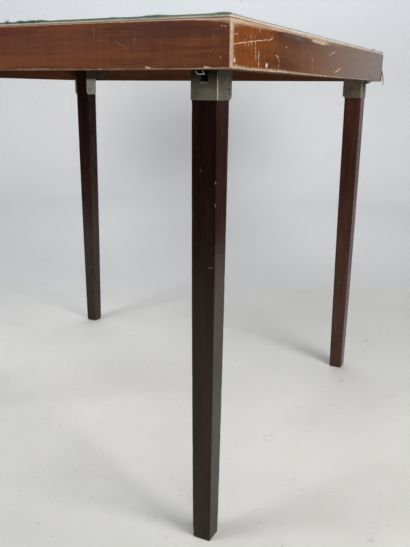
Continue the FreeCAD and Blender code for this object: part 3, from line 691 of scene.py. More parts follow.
# Soft patches on the outer faces: centre and half sizes in mm, tint, strength
PATCHES = {
    "front": [
        ((300, 667), (90, 9), DARK_VARNISH, 0.55), ((310, 638), (70, 7), ORANGE_VARNISH, 0.3),
        ((60, 634), (260, 10), ORANGE_VARNISH, 0.6), ((120, 660), (150, 14), DULL_VARNISH, 0.3),
        ((60, 671), (60, 6), RED_VARNISH, 0.5),
    ],
    "right": [
        ((-190, 671.6), (26, 3.2), BLUE_BLOOM, 0.5), ((-154, 670.6), (22, 3.0), BLUE_BLOOM, 0.75),
        ((-62, 673.2), (44, 3.0), PALE_PATCH, 0.85), ((24, 674.0), (46, 2.0), GREY_PATCH, 0.6),
        ((-372.5, 638.5), (1.8, 2.4), PALE_FILLER, 1.0), ((-369.2, 634.6), (2.2, 2.2), PALE_FILLER, 1.0),
        ((-273, 632.4), (2.8, 2.5), PALE_FILLER, 1.0),
    ],
    "back": [((120, 655), (80, 12), DARK_VARNISH, 0.5)],
    "left": [((-140, 645), (110, 10), DARK_VARNISH, 0.5)],
}
RANDOM_SCRATCHES = 9
APRON_SEED, CORNER_SEED = 11, 3
# Lengths of the waves in which arrises are uneven
LONG_SWELL, SHORT_SWELL, CORNER_SWELL = 9 * MM, 3.5 * MM, 12 * MM
# Bare wood fades out at this depth behind the outer face
WEAR_DEPTH = 6 * MM
# Radii of arrises in mm: the upright ones at the frame's corners, the least of the others, and what each mm
# of wear adds to those
CORNER_ROUND = {"front_right": 2.4, "back_right": 1.6, "back_left": 1.8, "front_left": 2.0}
LEAST_ROUND, TOP_ROUNDING, LOW_ROUNDING = 0.5, 0.16, 0.2
INNER_ROUND = 0.5 * MM
END_LENGTH = 4 * MM
MITRE_GAP = 0.05 * MM
APRON_STEP = 3.0 * MM
ARC_STEPS = 4
FACE_ROWS = (0.03, 0.07, 0.12, 0.19, 0.29, 0.4, 0.5, 0.6, 0.71, 0.81, 0.88, 0.93, 0.97)
MITRE_ANGLES = (0.0, 11.25, 22.5, 33.75, 45.0)


def quarter_round(x, y, radius, first_angle):
    """Points of an arris, a quarter circle about a flat place, clockwise from first_angle in degrees."""
    points = []
    for step in range(ARC_STEPS + 1):
        angle = math.radians(first_angle - 90 * step / ARC_STEPS)
        points.append((x + radius * math.cos(angle), y + radius * math.sin(angle)))
    return points


def apron_section(low_round, top_round):
    """A closed section as (depth behind the outer face, height): outer face upwards, then round the back."""
    low, high = APRON_LOW.z, APRON_HIGH.z
    back = APRON_THICKNESS - INNER_ROUND
    face_low, face_high = low + low_round, high - top_round
    section = quarter_round(low_round, face_low, low_round, 270)
    section += [(0.0, face_low + (face_high - face_low) * share) for share in FACE_ROWS]
    section += quarter_round(top_round, face_high, top_round, 180)
    section += quarter_round(back, high - INNER_ROUND, INNER_ROUND, 90)
    section += quarter_round(back, low + INNER_ROUND, INNER_ROUND, 0)
    return section


def corner_round(corner, height):
    """The radius of a frame corner's upright arris, uneven with wear."""
    uneven = 1 + 0.35 * ripple(0, 0, height / CORNER_SWELL, CORNERS.index(corner) + CORNER_SEED)
    return CORNER_ROUND[corner] * uneven * MM


def swelling(along, row, seed):
    """How much an arris swells and shrinks along a side, about 1."""
    swell = 1 + 0.45 * ripple(along / LONG_SWELL, 0, row, seed)
    return max(0.4, swell + 0.3 * ripple(along / SHORT_SWELL, 3, row, seed))


def random_scratches(seed):
    """Scratches for a side that the photograph doesn't show."""
    chance = random.Random(seed)
    scratches = []
    for _ in range(RANDOM_SCRATCHES):
        along, height = chance.uniform(-370, 370), chance.uniform(628, 674)
        end = (along + chance.uniform(3, 48), height + chance.gauss(0, 5))
        scratches.append(((along, height), end, chance.uniform(0.6, 1.2), chance.uniform(0.2, 0.55)))
    return scratches


def apron(side):
    """An apron with worn arrises, mitred at both ends into the frame's rounded corners."""
    turns = SIDES.index(side)
    corners = {-1: CORNERS[turns - 1], 1: CORNERS[turns]}
    seed = turns + APRON_SEED
    steps = round(2 * HALF / APRON_STEP)
    reach = HALF - END_LENGTH
    # Each station is the end that it belongs to, or 0, and its angle round the corner, or its place
    stations = [(-1, angle) for angle in reversed(MITRE_ANGLES)]
    stations += [(0, reach * (2 * step / steps - 1)) for step in range(steps + 1)]
    stations += [(1, angle) for angle in MITRE_ANGLES]
    rings, wear, bleach, haze_and_sheen = [], [], [], []
    for end, value in stations:
        along = end * HALF if end else value
        top_width = between(TOP_WEAR[side], along / MM)
        low_width = between(BOTTOM_WEAR[side], along / MM)
        top_round = (LEAST_ROUND + TOP_ROUNDING * top_width) * swelling(along, 0, seed) * MM
        low_round = (LEAST_ROUND + LOW_ROUNDING * low_width) * swelling(along, 7, seed) * MM
        ring = []
        for depth, height in apron_section(low_round, top_round):
            inset, x = 0.0, along
            if end:
                radius = corner_round(corners[end], height)
                angle = math.radians(value)
                inset = radius * (1 - math.cos(angle))
                x = end * (HALF - radius + radius * math.sin(angle))
            inward = inset + depth * (APRON_THICKNESS - inset) / APRON_THICKNESS
            x *= (HALF - inward) / (HALF - inset)
            x -= end * MITRE_GAP * math.sin(math.radians(value))
            ring.append((x, inward - HALF, height))
            outer = max(0.0, 1 - depth / WEAR_DEPTH)
            from_top = (APRON_HIGH.z - height + 0.5 * depth) / (top_width * MM)
            from_low = (height - APRON_LOW.z + 1.5 * depth) / (low_width * MM)
            end_width = END_WEAR[side][0 if x < 0 else 1] * MM
            from_end = (HALF - abs(x)) / end_width
            wear.append(outer * max(0.0, 1 - min(from_top, from_low, from_end)))
            bleach.append(between(BLEACH[side], x / MM))
            haze_and_sheen.append(between(HAZE_AND_SHEEN_ALONG[side], x / MM))
        rings.append(ring)
    material = apron_finish(side, SCRATCHES.get(side) or random_scratches(seed))
    attributes = {"wear": wear, "bleach": bleach, "haze_and_sheen": haze_and_sheen}
    made = piece(side + "_apron_worn", loft(rings), material, WOOD_SHARP, attributes, turns)
    settle(made, FRAME_BODY, side + "_apron")


# Legs

LEG_SEED = 31
# Lengths of the waves in which the arrises are nicked, and in which the faces are uneven, across and up
LONG_NICK, SHORT_NICK = 11 * MM, 4 * MM
WAVE_ACROSS, WAVE_UP = 20 * MM, 70 * MM
FOOT_WIDTH = 26.0 * MM
LEG_WIDTH = LEG_HIGH.x - LEG_LOW.x
UPPER_TAPER_SHARE = 0.35
LEG_MIDDLE = (LEG_LOW + LEG_HIGH) / 2
LEG_ARRIS = 0.85 * MM
LEG_STEP = 5.0 * MM
FOOT_LEVELS = (0.0, 0.8, 2.0, 4.0, 7.0)
# Heights up to which the foot is rounded and rubbed pale
FOOT_ROUNDED, FOOT_RUBBED = 16 * MM, 9 * MM
# How far the leg is shaved inside its socket, and its chamfers at the foot and the top
SOCKET_PLAY, FOOT_CHAMFER, TOP_CHAMFER = 0.05 * MM, 0.9 * MM, 0.7 * MM
# The mortise behind the socket's window: half width, levels and depth from the leg's face
MORTISE_HALF = 5.5 * MM
MORTISE_LOW, MORTISE_HIGH = 611.5 * MM, 626.5 * MM
MORTISE_DEPTH = 4.0 * MM
LEG_COLUMNS = (-0.38, -0.28, -MORTISE_HALF / LEG_WIDTH, 0.0, MORTISE_HALF / LEG_WIDTH, 0.28, 0.38)
CHIP_SHARE = 0.4
# Chips and scratches as quarter turns of the face, from and to (across and height) and half width, in mm
LEG_CHIPS = {
    "front_right": (
        (0, (-4.4, 510.5), (-4.4, 511.5), 0.8), (0, (16.2, 496.0), (15.8, 498.5), 1.0),
        (0, (16.2, 468.0), (15.6, 472.0), 0.8), (0, (7.1, 392.6), (15.0, 393.6), 0.45),
        (1, (-13.1, 419.0), (-13.1, 420.0), 0.9), (1, (2.8, 416.0), (2.8, 417.0), 0.8),
    ),
    "back_right": ((1, (8.0, 300.0), (8.0, 301.2), 1.3), (3, (-4.0, 200.0), (-4.0, 201.2), 1.3)),
    "back_left": ((1, (-6.0, 520.0), (-6.0, 521.2), 1.2), (2, (4.0, 150.0), (6.0, 151.2), 1.4)),
    "front_left": ((0, (-6.0, 330.0), (-6.0, 331.2), 1.4), (2, (7.0, 480.0), (7.0, 481.2), 1.3)),
}
# Painted light and shade: how dark each leg's wood is made on the face towards +X, which the light from the
# right falls on, and on the others, as a share of its tones
LEG_FACE_PAINTED_LIGHT = {
    "front_right": (1.75, 0.72), "back_right": (1.15, 1.0), "back_left": (1.7, 1.0), "front_left": (1.0, 1.2),
}
LEG_TONES = {
    "front_right": ((0.0054, 0.0020, 0.0015), (0.0112, 0.0039, 0.0027), (0.024, 0.0080, 0.0049)),
    "back_right": ((0.021, 0.0078, 0.0050), (0.042, 0.0155, 0.0092), (0.068, 0.0260, 0.0145)),
    "back_left": ((0.0100, 0.0042, 0.0034), (0.0205, 0.0082, 0.0059), (0.040, 0.0152, 0.0098)),
    "front_left": ((0.0085, 0.0035, 0.0028), (0.0175, 0.0068, 0.0048), (0.034, 0.0125, 0.0080)),
}


def leg_width(level):
    """The leg's width at a height: it falls faster in the lower half."""
    share = max(0.0, 1 - level / SOCKET_LOW.z)
    taper = LEG_WIDTH - FOOT_WIDTH
    curve = 2 - 4 * UPPER_TAPER_SHARE
    return LEG_WIDTH - taper * share * (1 - curve + curve * share)


def leg_place(corner, face, across, height):
    """A place on a leg's surface, from mm. face counts quarter turns from the face with the mortise."""
    spot = turned([(across * MM, -leg_width(height * MM) / 2, 0)], face)[0]
    return turned([spot + Vector((LEG_MIDDLE.x, LEG_MIDDLE.y, height * MM))], CORNERS.index(corner))[0]


def leg(corner):
    """A square tapered leg with nicked arrises, a rubbed foot and the mortise for the catch."""
    turns = CORNERS.index(corner)
    seed = turns + LEG_SEED
    shoulder = SOCKET_LOW.z
    levels = [level * MM for level in FOOT_LEVELS]
    steps = round(shoulder / LEG_STEP)
    levels += [shoulder * step / steps for step in range(3, steps + 1)]
    levels += [MORTISE_LOW, (MORTISE_LOW + MORTISE_HIGH) / 2, MORTISE_HIGH, LEG_HIGH.z - 1.0 * MM, LEG_HIGH.z]
    rings, wear = [], []
    for level in levels:
        below_socket = level < shoulder
        width = leg_width(level)
        inset = SOCKET_PLAY if level > shoulder else 0.0
        inset += max(0.0, FOOT_CHAMFER - level) * 0.9
        inset += TOP_CHAMFER if level == LEG_HIGH.z else 0.0
        side = width / 2 - inset
        foot = max(0.0, 1 - level / FOOT_ROUNDED)
        ring = []
        for face in range(4):
            nick = max(0.0, ripple(0, face * 3.1, level / LONG_NICK, seed)) ** 2 * 1.6
            nick += max(0.0, ripple(5, face * 3.1, level / SHORT_NICK, seed)) ** 2 * 0.8
            rounded = 0.2 + 0.25 * nick + 0.2 * foot
            radius = LEG_ARRIS + (nick + foot * 1.2) * MM * below_socket
            flat = side - radius
            spots = []
            for share in LEG_COLUMNS:
                x = share * width
                wave = 0.10 * MM * ripple(x / WAVE_ACROSS, face, level / WAVE_UP, seed) * below_socket
                spots.append((x, -side + abs(wave), level))
                wear.append(0.3 * max(0.0, 1 - level / FOOT_RUBBED) ** 2)
            for index, spot in enumerate(reversed(quarter_round(flat, -flat, radius, 0))):
                spots.append((*spot, level))
                wear.append(rounded if 0 < index < ARC_STEPS else 0.5 * rounded)
            ring += turned(spots, face)
        rings.append([point + Vector((LEG_MIDDLE.x, LEG_MIDDLE.y, 0)) for point in ring])
    made = piece(corner + "_leg_worn", loft(rings), leg_finish(corner), WOOD_SHARP, {"wear": wear})
    cut_mortise(made)
    made.data.transform(quarter_turn(turns, 4))
    settle(made, corner + "_folding_leg", corner + "_leg")


def cut_mortise(made):
    """Pushes in the faces behind the socket's window, so that the catch's tongue has room."""
    shell = bmesh.new()
    shell.from_mesh(made.data)
    chosen = []
    for face in shell.faces:
        middle = face.calc_center_median()
        inside = abs(middle.x - LEG_MIDDLE.x) < MORTISE_HALF and MORTISE_LOW < middle.z < MORTISE_HIGH
        if inside and face.normal.y < -0.9:
            chosen.append(face)
    grown = bmesh.ops.extrude_face_region(shell, geom=chosen)["geom"]
    moved = [element for element in grown if isinstance(element, bmesh.types.BMVert)]
    bmesh.ops.translate(shell, vec=Vector((0, MORTISE_DEPTH, 0)), verts=moved)
    bmesh.ops.delete(shell, geom=chosen, context="FACES")
    bmesh.ops.recalc_face_normals(shell, faces=shell.faces)
    shell.to_mesh(made.data)
    shell.free()
    made.data.set_sharp_from_angle(angle=math.radians(WOOD_SHARP))


# Top board

BOARD_CORNER = 2.2 * MM
BOARD_CELLS = 190
# Length of the waves and seed of what makes its edge uneven
DENTS, PITS = (14 * MM, 51), (5 * MM, 52)
# Rows up the board's edge: share of its height, and distance in, in mm
BOARD_LEVELS = ((0.0, 0.35), (0.12, 0.08), (0.3, 0.0), (0.5, 0.06), (0.72, 0.0), (0.9, 0.1), (1.0, 0.4))
# How dusty the board's edge is, at places along each side in mm
BOARD_DUST = {
    "front": ((-380, 0.3), (380, 0.2)),
    "right": ((-380, 0.1), (-300, 0.35), (-190, 0.95), (380, 1.0)),
    "back": ((-380, 0.7), (380, 0.4)),
    "left": ((-380, 0.4), (380, 0.3)),
}
# How strongly the joint under the board shows on each side
BOARD_JOINT = {"front": 0.85, "right": 0.4, "back": 0.7, "left": 0.7}


def square_outline(half, corner, cells):
    """Points and outward directions round a square with rounded corners, with so many cells a side."""
    flat = half - corner
    run = []
    for step in range(cells + 1):
        run.append((Vector((flat * (2 * step / cells - 1), -half, 0)), Vector((0, -1, 0))))
    for angle in (-67.5, -45, -22.5):
        direction = Vector((math.cos(math.radians(angle)), math.sin(math.radians(angle)), 0))
        run.append((Vector((flat, -flat, 0)) + corner * direction, direction))
    spins = [quarter_turn(turns) for turns in range(4)]
    return [(spin @ point, spin @ direction) for spin in spins for point, direction in run]


def by_side(table, direction):
    """The value of a table of sides in an outward direction, blended round the corners."""
    shares = dict(zip(SIDES, (-direction.y, direction.x, direction.y, -direction.x)))
    return sum(table[side] * max(0.0, share) ** 2 for side, share in shares.items())


def along_side(point):
    """The side that a place on the outline belongs to, and how far along it the place is."""
    if abs(point.y) >= abs(point.x):
        return ("front", point.x) if point.y < 0 else ("back", -point.x)
    return ("right", point.y) if point.x > 0 else ("left", -point.y)


def top_board():
    """The thin board, with a dented and dusty edge."""
    rings, dusty, joint = [], [], []
    for share, inset in BOARD_LEVELS:
        level = BOARD_LOW.z + (BOARD_HIGH.z - BOARD_LOW.z) * share
        ring = []
        for point, direction in square_outline(HALF, BOARD_CORNER, BOARD_CELLS):
            dent = max(0.0, flat_ripple(point, share, *DENTS) - 0.15) * 0.9
            dent += max(0.0, flat_ripple(point, share * 2, *PITS)) * 0.25
            place = point - direction * (inset + dent) * MM
            ring.append((place.x, place.y, level))
            side, along = along_side(point)
            dusty.append(between(BOARD_DUST[side], along / MM))
            joint.append(by_side(BOARD_JOINT, direction))
        rings.append(ring)
    attributes = {"dusty": dusty, "joint": joint}
    made = piece("top_board_worn", loft(rings), board_wood(), sharp=45, attributes=attributes)
    return settle(made, FRAME_BODY, "top_board")


# Felt

FELT_CELLS = 250
FELT_CORNER, LEAST_CORNER = 2.4, 0.6
FELT_RELIEF = 0.16 * MM
FELT_LIP = 0.45 * MM
# Length of the waves and seed of its relief, of the pull on its edge and of the droop
RELIEF, PULL, DROOP = (13 * MM, 61), (9 * MM, 62), (12 * MM, 63)
# Rings of the felt from its edge inwards: distance in, share of the droop, drop of the upper face, and
# share of the lumps. Distances are in mm.
FELT_RINGS = [(0.0, 1.0, 0.45, 0.8), (0.5, 0.12, 0.12, 1.0), (1.3, 0.0, 0.0, 0.8), (3.0, 0.0, 0.0, 0.35)]
FELT_RINGS += [(inset, 0.0, 0.0, 0.0) for inset in (7.0, 15, 32, 70, 130, 220, 310)]
# How far the felt's lower edge hangs over the board, in mm
FELT_DROOP = {"front": 0.35, "right": 0.1, "back": 0.5, "left": 0.6}
# How much thinner than new the felt is at the edge, in mm, and how far in from it that reaches
FELT_THINNED = {"front": 0.0, "right": 0.8, "back": 0.3, "left": 0.2}
THIN_REACH = 16.0
# How long the fray is on each side, as a share
FRAY_SHARE = {"front": 1.0, "right": 0.4, "back": 0.8, "left": 0.9}
# How faded the edge is, at places along each side in mm
FELT_FADE = {
    "front": ((-380, 0.15), (120, 0.08), (240, 0.22), (330, 0.4), (380, 0.48)),
    "right": ((-380, 0.9), (-330, 1.0), (380, 1.0)),
    "back": ((-380, 0.4), (0, 0.2), (380, 0.3)),
    "left": ((-380, 0.2), (380, 0.3)),
}
FADE_REACH = 9.0
FRAY_SEED, PATCHY_SEED = 7, 71
PATCHY_WAVE = 20 * MM
FRAY_STEP = 0.8 * MM
FIBRE_RADIUS = 0.14 * MM
FIBRE_SIDES, FIBRE_SEGMENTS = 3, 4
FIBRE_CURL = 0.5
FRAY_REACH = 2.5 * MM
END_MARGIN = 0.5 * MM
# Frayed tufts on each edge: place along the side in mm, spread in mm, fibres, length in mm
TUFTS = {
    "front": (
        (73.4, 0.9, 22, 6.5), (95, 3.0, 90, 3.6), (112, 5.0, 140, 3.6), (126, 4.5, 100, 3.4),
        (277, 3.0, 40, 2.4), (290, 6.0, 150, 3.0), (369.7, 6.0, 150, 2.6), (230, 4.0, 30, 2.0),
        (-140, 6.0, 80, 3.2), (-300, 4.0, 60, 3.6),
    ),
    "right": ((355, 6.0, 60, 3.0), (-120, 5.0, 26, 1.8), (90, 4.0, 30, 2.2), (-368, 5.0, 50, 2.0)),
    "back": ((-200, 6.0, 60, 3.0), (30, 4.0, 40, 3.4), (310, 5.0, 50, 3.0)),
    "left": ((-280, 5.0, 50, 3.0), (60, 6.0, 60, 3.2), (240, 4.0, 40, 2.8)),
}
# How high tufts lift the felt, as a share of their length, and how far past their spread
LUMP_SHARE, LUMP_SPREAD = 0.32, 1.8


def felt_lump(point):
    """How far loose wool lifts the felt's edge, in metres: most where it is tufted."""
    side, along = along_side(point)
    lump = 0.0
    for centre, spread, _, length in TUFTS[side]:
        off = (along / MM - centre) / (LUMP_SPREAD * spread)
        lump = max(lump, LUMP_SHARE * length * math.exp(-off * off))
    return lump * FRAY_SHARE[side] * MM


def felt_sheet():
    """The felt as a thin closed sheet with a matted surface and a lumpy, drooping edge."""
    rings, fade, loose = [], [], []
    layers = [(False, row) for row in reversed(FELT_RINGS)] + [(True, row) for row in FELT_RINGS]
    for upper, (inset, droop_share, drop, lump_share) in layers:
        half = HALF + FELT_LIP - inset * MM
        ring = []
        corner = max(LEAST_CORNER, FELT_CORNER - inset) * MM
        for point, direction in square_outline(half, corner, FELT_CELLS):
            uneven = 1 + 0.8 * flat_ripple(point, 0, *DROOP)
            if upper:
                z = FELT_HIGH.z - drop * MM + felt_lump(point) * lump_share
                z += FELT_RELIEF * (flat_ripple(point, 0, *RELIEF) - 0.6)
                z -= by_side(FELT_THINNED, direction) * max(0.0, 1 - inset / THIN_REACH) * MM
            else:
                z = FELT_LOW.z - by_side(FELT_DROOP, direction) * max(0.1, uneven) * droop_share * MM
            pull = 0.0
            if inset == 0:
                pull = 0.3 * MM * (flat_ripple(point, upper, *PULL) + 0.3)
            ring.append((point.x - direction.x * pull, point.y - direction.y * pull, z))
            side, along = along_side(point)
            near_edge = max(0.0, 1 - inset / FADE_REACH)
            fade.append(between(FELT_FADE[side], along / MM) * near_edge)
            # Painted light on the loose wool near the edge
            loose.append(0.6 * near_edge)
        rings.append(ring)
    attributes = {"fade": fade, "loose": loose}
    made = piece("felt_cover", loft(rings), FELT, sharp=60, attributes=attributes)
    return settle(made, FRAME_BODY, "felt_top")


def fibre(root, direction, length, lowest, chance):
    """Points and faces of one curled wool fibre, a tapering tube that stays above lowest off the board."""
    rings = []
    place, heading = Vector(root), Vector(direction).normalized()
    for segment in range(FIBRE_SEGMENTS + 1):
        side = heading.cross(UP if abs(heading.z) < 0.9 else Vector((1, 0, 0))).normalized()
        other = heading.cross(side)
        radius = FIBRE_RADIUS * (1.15 - 0.8 * segment / FIBRE_SEGMENTS)
        rings.append(ring_about(place, radius * side, radius * other, FIBRE_SIDES))
        curl = Vector((chance.gauss(0, 1), chance.gauss(0, 1), chance.gauss(0, 0.7)))
        heading = (heading + FIBRE_CURL * curl).normalized()
        place = place + heading * (length / FIBRE_SEGMENTS)
        place.y = max(place.y, -HALF - FRAY_REACH)
        place.z = max(place.z, lowest if place.y < -HALF - FELT_LIP else FELT_LOW.z + FIBRE_RADIUS)
    return loft(rings)


def felt_fray():
    """Loose fibres all round the felt's edge, in tufts where it is most frayed."""
    chance = random.Random(FRAY_SEED)
    points, faces, fade = [], [], []

    def grow(turns, along, length):
        root_depth, root_height = chance.uniform(-0.2, 0.7) * MM, chance.uniform(0.2, 1.3) * MM
        root = Vector((along, root_depth - HALF, FELT_LOW.z + root_height))
        heading = Vector((chance.gauss(0, 0.8), -0.5 - 0.3 * chance.random(), chance.gauss(0.55, 0.5)))
        lowest = FELT_LOW.z - FELT_DROOP[SIDES[turns]] * MM
        length *= FRAY_SHARE[SIDES[turns]]
        made_points, made_faces = fibre(root, heading, length, lowest, chance)
        first = len(points)
        points.extend(turned(made_points, turns))
        faces.extend(tuple(first + index for index in face) for face in made_faces)
        fade.extend([between(FELT_FADE[SIDES[turns]], along / MM)] * len(made_points))

    for turns, side in enumerate(SIDES):
        for index in range(round(2 * HALF / FRAY_STEP)):
            along = -HALF + (index + chance.random()) * FRAY_STEP
            patchy = 1 + 0.7 * ripple(along / PATCHY_WAVE, turns, 0, PATCHY_SEED)
            grow(turns, along, chance.uniform(0.7, 1.9) * patchy * MM)
        for centre, spread, count, length in TUFTS[side]:
            for _ in range(count):
                along = (centre + chance.gauss(0, spread)) * MM
                along = max(-HALF + END_MARGIN, min(HALF - END_MARGIN, along))
                grow(turns, along, length * chance.uniform(0.5, 1.15) * MM)
    attributes = {"fade": fade, "loose": [1.0] * len(points)}
    made = piece("felt_fray", (points, faces), FELT, sharp=80, attributes=attributes)
    return settle(made, FRAME_BODY)


# Slivers: one hangs from the back right corner of the frame, one stands up from the board's edge near it

SLIVER_SEED, SLIVER_SIDES, SLIVER_STEPS = 81, 6, 7
# Each with its root and tip, the sideways bow of its middle, and its half width and half thickness, in mm
SLIVERS = {
    "corner_sliver": ((379.2, 379.2, 645.0), (383.2, 381.4, 615.5), (1.2, 1.0, 0.0), 1.5, 0.7),
    "edge_sliver": ((379.4, 266.0, 679.4), (380.9, 300.0, 682.4), (0.5, 0.0, 0.5), 1.2, 0.6),
}


def sliver(name, material):
    """A torn strip of wood that thins towards its tip."""
    root, tip, bow, half_width, half_thickness = SLIVERS[name]
    root, tip, bow = Vector(root) * MM, Vector(tip) * MM, Vector(bow) * MM
    heading = (tip - root).normalized()
    side = heading.cross(Vector((0, 1, 0)) if abs(heading.z) > 0.5 else Vector((1, 0, 0))).normalized()
    out = heading.cross(side)
    rings = []
    for step in range(SLIVER_STEPS + 1):
        share = step / SLIVER_STEPS
        middle = root + (tip - root) * share + bow * math.sin(math.pi * share)
        taper = (1 - share) ** 0.7 * (1 + 0.25 * ripple(share * 5, 0, 0, SLIVER_SEED)) + 0.12
        across, through = side * half_width * taper * MM, out * half_thickness * taper * MM
        rings.append(ring_about(middle, across, through, SLIVER_SIDES))
    settle(piece(name, loft(rings), material, WOOD_SHARP), FRAME_BODY)


# Catch springs

SPRING_SHEET = 0.4 * MM
SPRING_FOOT_LENGTH = 5.0 * MM
SPRING_END_GAP = 1.2 * MM
SPRING_ROWS = 18
SPRING_ARRIS = 0.2 * MM


def catch_spring(corner):
    """A bowed leaf: its foot is riveted to the catch, its belly leans on the apron."""
    turns = CORNERS.index(corner)
    middle = (SPRING_LOW.x + SPRING_HIGH.x) / 2
    half_width = (SPRING_HIGH.x - SPRING_LOW.x) / 2
    foot_top, foot_low, end = SPRING_HIGH.z, SPRING_HIGH.z - SPRING_FOOT_LENGTH, SPRING_LOW.z
    belly = (foot_low + end) / 2
    foot_y, belly_y = SPRING_HIGH.y - SPRING_SHEET, SPRING_LOW.y
    end_y = belly_y + SPRING_END_GAP

    def bow(z):
        """The leaf's outer face: a parabola through foot, belly and end."""
        if z >= foot_low:
            return foot_y
        share = (z - belly) / (foot_low - belly)
        bend = (foot_y + end_y) / 2 - belly_y
        return belly_y + bend * share * share + (foot_y - end_y) / 2 * share

    levels = [foot_top - 0.1 * MM, foot_top - 0.8 * MM, foot_low + 1.5 * MM]
    levels += [foot_low + (end - foot_low) * row / SPRING_ROWS for row in range(SPRING_ROWS + 1)]
    rings = []
    for level in levels:
        tip = min(1.0, 0.72 + (level - end) / (4 * MM), 0.75 + (foot_top - level) / (2 * MM))
        half, y = half_width * tip, bow(level)
        flat = half - SPRING_ARRIS
        section = ((-half, 0.06), (-flat, 0.0), (flat, 0.0), (half, 0.06),
                   (half, 0.94), (flat, 1.0), (-flat, 1.0), (-half, 0.94))
        rings.append([(middle + x, y + share * SPRING_SHEET, level) for x, share in section])
    made = piece(corner + "_spring_leaf", loft(rings), CATCH_STEEL, sharp=35, turns=turns)
    ends = turned([(middle, belly_y, belly), (middle, foot_y, foot_low)], turns)
    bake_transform(made)
    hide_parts(corner + "_catch_spring")


# CAD nodes that stay: each gets a material and fine rounded edges, so many mm wide

BEVEL_SEGMENTS = 2
BEVEL_ABOVE = 50


def dress(node, material, bevel):
    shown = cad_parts[node]
    shown.data.materials.clear()
    shown.data.materials.append(material)
    soften = shown.modifiers.new("soft_edges", "BEVEL")
    soften.width = bevel * MM
    soften.segments = BEVEL_SEGMENTS
    soften.limit_method = "ANGLE"
    soften.angle_limit = math.radians(BEVEL_ABOVE)


# Stage, lights and camera

FLOOR_RADII = (0.4, 0.8, 1.1, 1.3, 1.45, 1.6, 1.8, 2.05, 2.5)
COVE_RADIUS = 0.7
COVE_STEPS = 12
WALL_TOP = 2.6
STAGE_SIDES = 96
# Varnish and metal mirror only the floor round the table and the wall straight behind it, because the
# rest of the photographer's room was dark
MIRRORED_FLOOR_RADIUS = 1.6
MIRRORED_FRONT = -1.32
MIRRORED_WALL = (-75, 21)
MIRRORED_FLOOR = (-75, 25)


def stage():
    """A round floor with a curved wall, the same from every side."""
    floor_radius = FLOOR_RADII[-1]
    profile = [(radius, 0.0) for radius in FLOOR_RADII]
    for step in range(1, COVE_STEPS + 1):
        angle = math.radians(90 * step / COVE_STEPS)
        profile.append((floor_radius + COVE_RADIUS * math.sin(angle), COVE_RADIUS * (1 - math.cos(angle))))
    profile.append((floor_radius + COVE_RADIUS, WALL_TOP))
    points, faces = [Vector()], []
    for radius, height in profile:
        points += ring_about(UP * height, Vector((radius, 0, 0)), Vector((0, radius, 0)), STAGE_SIDES)
    for index in range(STAGE_SIDES):
        after = (index + 1) % STAGE_SIDES
        faces.append((0, 1 + index, 1 + after))
        for row in range(len(profile) - 1):
            low, high = 1 + row * STAGE_SIDES, 1 + (row + 1) * STAGE_SIDES
            faces.append((low + index, high + index, high + after, low + after))
    turn = math.radians(STUDIO_TURN)

    def mirrored(face):
        middle = sum((points[index] for index in face), Vector()) / len(face)
        ahead = middle.y * math.cos(turn) - middle.x * math.sin(turn)
        clockwise = math.degrees(math.atan2(middle.x, middle.y))
        near = middle.xy.length < MIRRORED_FLOOR_RADIUS
        first, last = MIRRORED_FLOOR if middle.z == 0 else MIRRORED_WALL
        return ahead > MIRRORED_FRONT and (near or first < clockwise < last)

    material = studio_sheet()
    for name, shows in (("studio_floor", True), ("studio_room", False)):
        chosen = [face for face in faces if mirrored(face) == shows]
        made = piece(name, (points, chosen), material, sharp=60)
        made.visible_glossy = shows


# Soft boxes above the table on its right, at its front left and in front, one on the wall behind and a weak
# one on the floor: place, target, size, power, tint and spread in degrees
LIGHTS = {
    "right_light": ((1.75, -0.55, 1.5), (0.1, 0.0, 0.1), 0.8, 32, (1.0, 0.98, 0.95), 180),
    "left_light": ((-0.85, -1.5, 1.9), (0.1, 0.1, 0.2), 0.9, 26, (0.97, 0.985, 1.0), 180),
    "front_light": ((2.0, -2.3, 1.2), (-0.2, 0.3, 0.1), 1.2, 22, (1.0, 1.0, 1.0), 150),
    "wall_light": ((-0.5, 1.3, 2.5), (-1.3, 2.9, 1.0), 1.6, 47, (0.93, 0.96, 1.0), 180),
    "floor_light": ((-1.5, -0.7, 1.7), (-0.6, -0.05, 0.0), 0.8, 1.0, (0.98, 0.99, 1.0), 60),
}
WORLD_TINT, WORLD_STRENGTH = (0.85, 0.88, 0.92, 1), 0.10


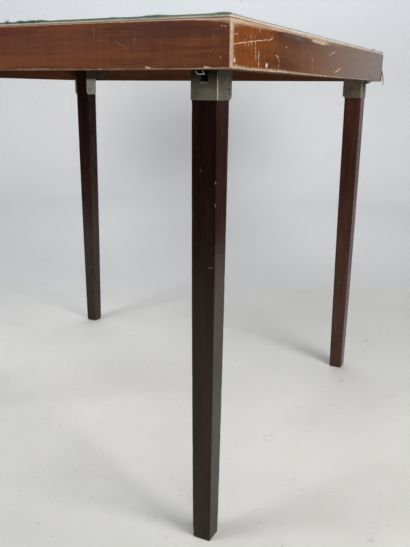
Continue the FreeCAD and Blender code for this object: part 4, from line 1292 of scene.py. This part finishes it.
def light_studio():
    """Hangs the soft boxes and dims the world, which varnish and metal don't mirror."""
    for name, (place, target, size, power, tint, spread) in LIGHTS.items():
        light = bpy.data.lights.new(name, "AREA")
        light.spread = math.radians(spread)
        light.shape = "SQUARE"
        light.size = size
        light.energy = power
        light.color = tint
        lamp = bpy.data.objects.new(name, light)
        lamp.location = place
        lamp.rotation_euler = (Vector(target) - Vector(place)).to_track_quat("-Z", "Y").to_euler()
        lamp.visible_camera = False
        bpy.context.collection.objects.link(lamp)
    world = bpy.data.worlds.new("studio_world")
    world.use_nodes = True
    background = world.node_tree.nodes["Background"]
    background.inputs["Color"].default_value = WORLD_TINT
    background.inputs["Strength"].default_value = WORLD_STRENGTH
    bpy.context.scene.world = world
    world.cycles_visibility.glossy = False
    bpy.context.scene.view_settings.view_transform = "Standard"


def camera():
    data = bpy.data.cameras.new("photo_camera")
    data.lens = CAMERA_LENS
    data.sensor_width = CAMERA_SENSOR
    data.sensor_fit = "AUTO"
    data.clip_start = 0.01
    made = bpy.data.objects.new("photo_camera", data)
    yaw = Matrix.Rotation(math.radians(CAMERA_YAW), 4, "Z")
    tilt = Matrix.Rotation(math.radians(90 - CAMERA_PITCH), 4, "X")
    roll = Matrix.Rotation(math.radians(CAMERA_ROLL), 4, "Z")
    made.matrix_world = Matrix.Translation(CAMERA_PLACE) @ yaw @ tilt @ roll
    bpy.context.collection.objects.link(made)
    bpy.context.scene.camera = made


# The whole table

FELT = green_felt()
BRACKET_PLATE = plated_steel("bracket_steel", 0, BRACKET_TONES, 0.3, 0.3, 0.3, rubbed=0.2)
CATCH_STEEL = catch_steel()
FASTENERS = fastener_steel()
CORNER_FINISHES = (
    ("hinge_bracket", BRACKET_PLATE, 0.15), ("catch_lever", CATCH_STEEL, 0.1),
    ("socket_nails", FASTENERS, 0.2), ("bracket_screws", FASTENERS, 0.12), ("pivot_pin", FASTENERS, 0.4),
    ("catch_pin", FASTENERS, 0.2), ("catch_rivet", FASTENERS, 0.15),
)

for side in SIDES:
    apron(side)
for turns, corner in enumerate(CORNERS):
    leg(corner)
    catch_spring(corner)
    socket_plate = plated_steel(corner + "_socket_steel", turns, *SOCKET_PLATES[corner], rubbed=1.0)
    dress(corner + "_leg_socket", socket_plate, 0.15)
    for node, material, bevel in CORNER_FINISHES:
        dress(corner + "_" + node, material, bevel)
board = top_board()
felt = felt_sheet()
fray = felt_fray()
torn_wood = sliver_wood()
for name in SLIVERS:
    sliver(name, torn_wood)
dress("centre_batten", batten_wood(), 0.8)
dress("board_brads", FASTENERS, 0.1)

stage()
light_studio()
camera()
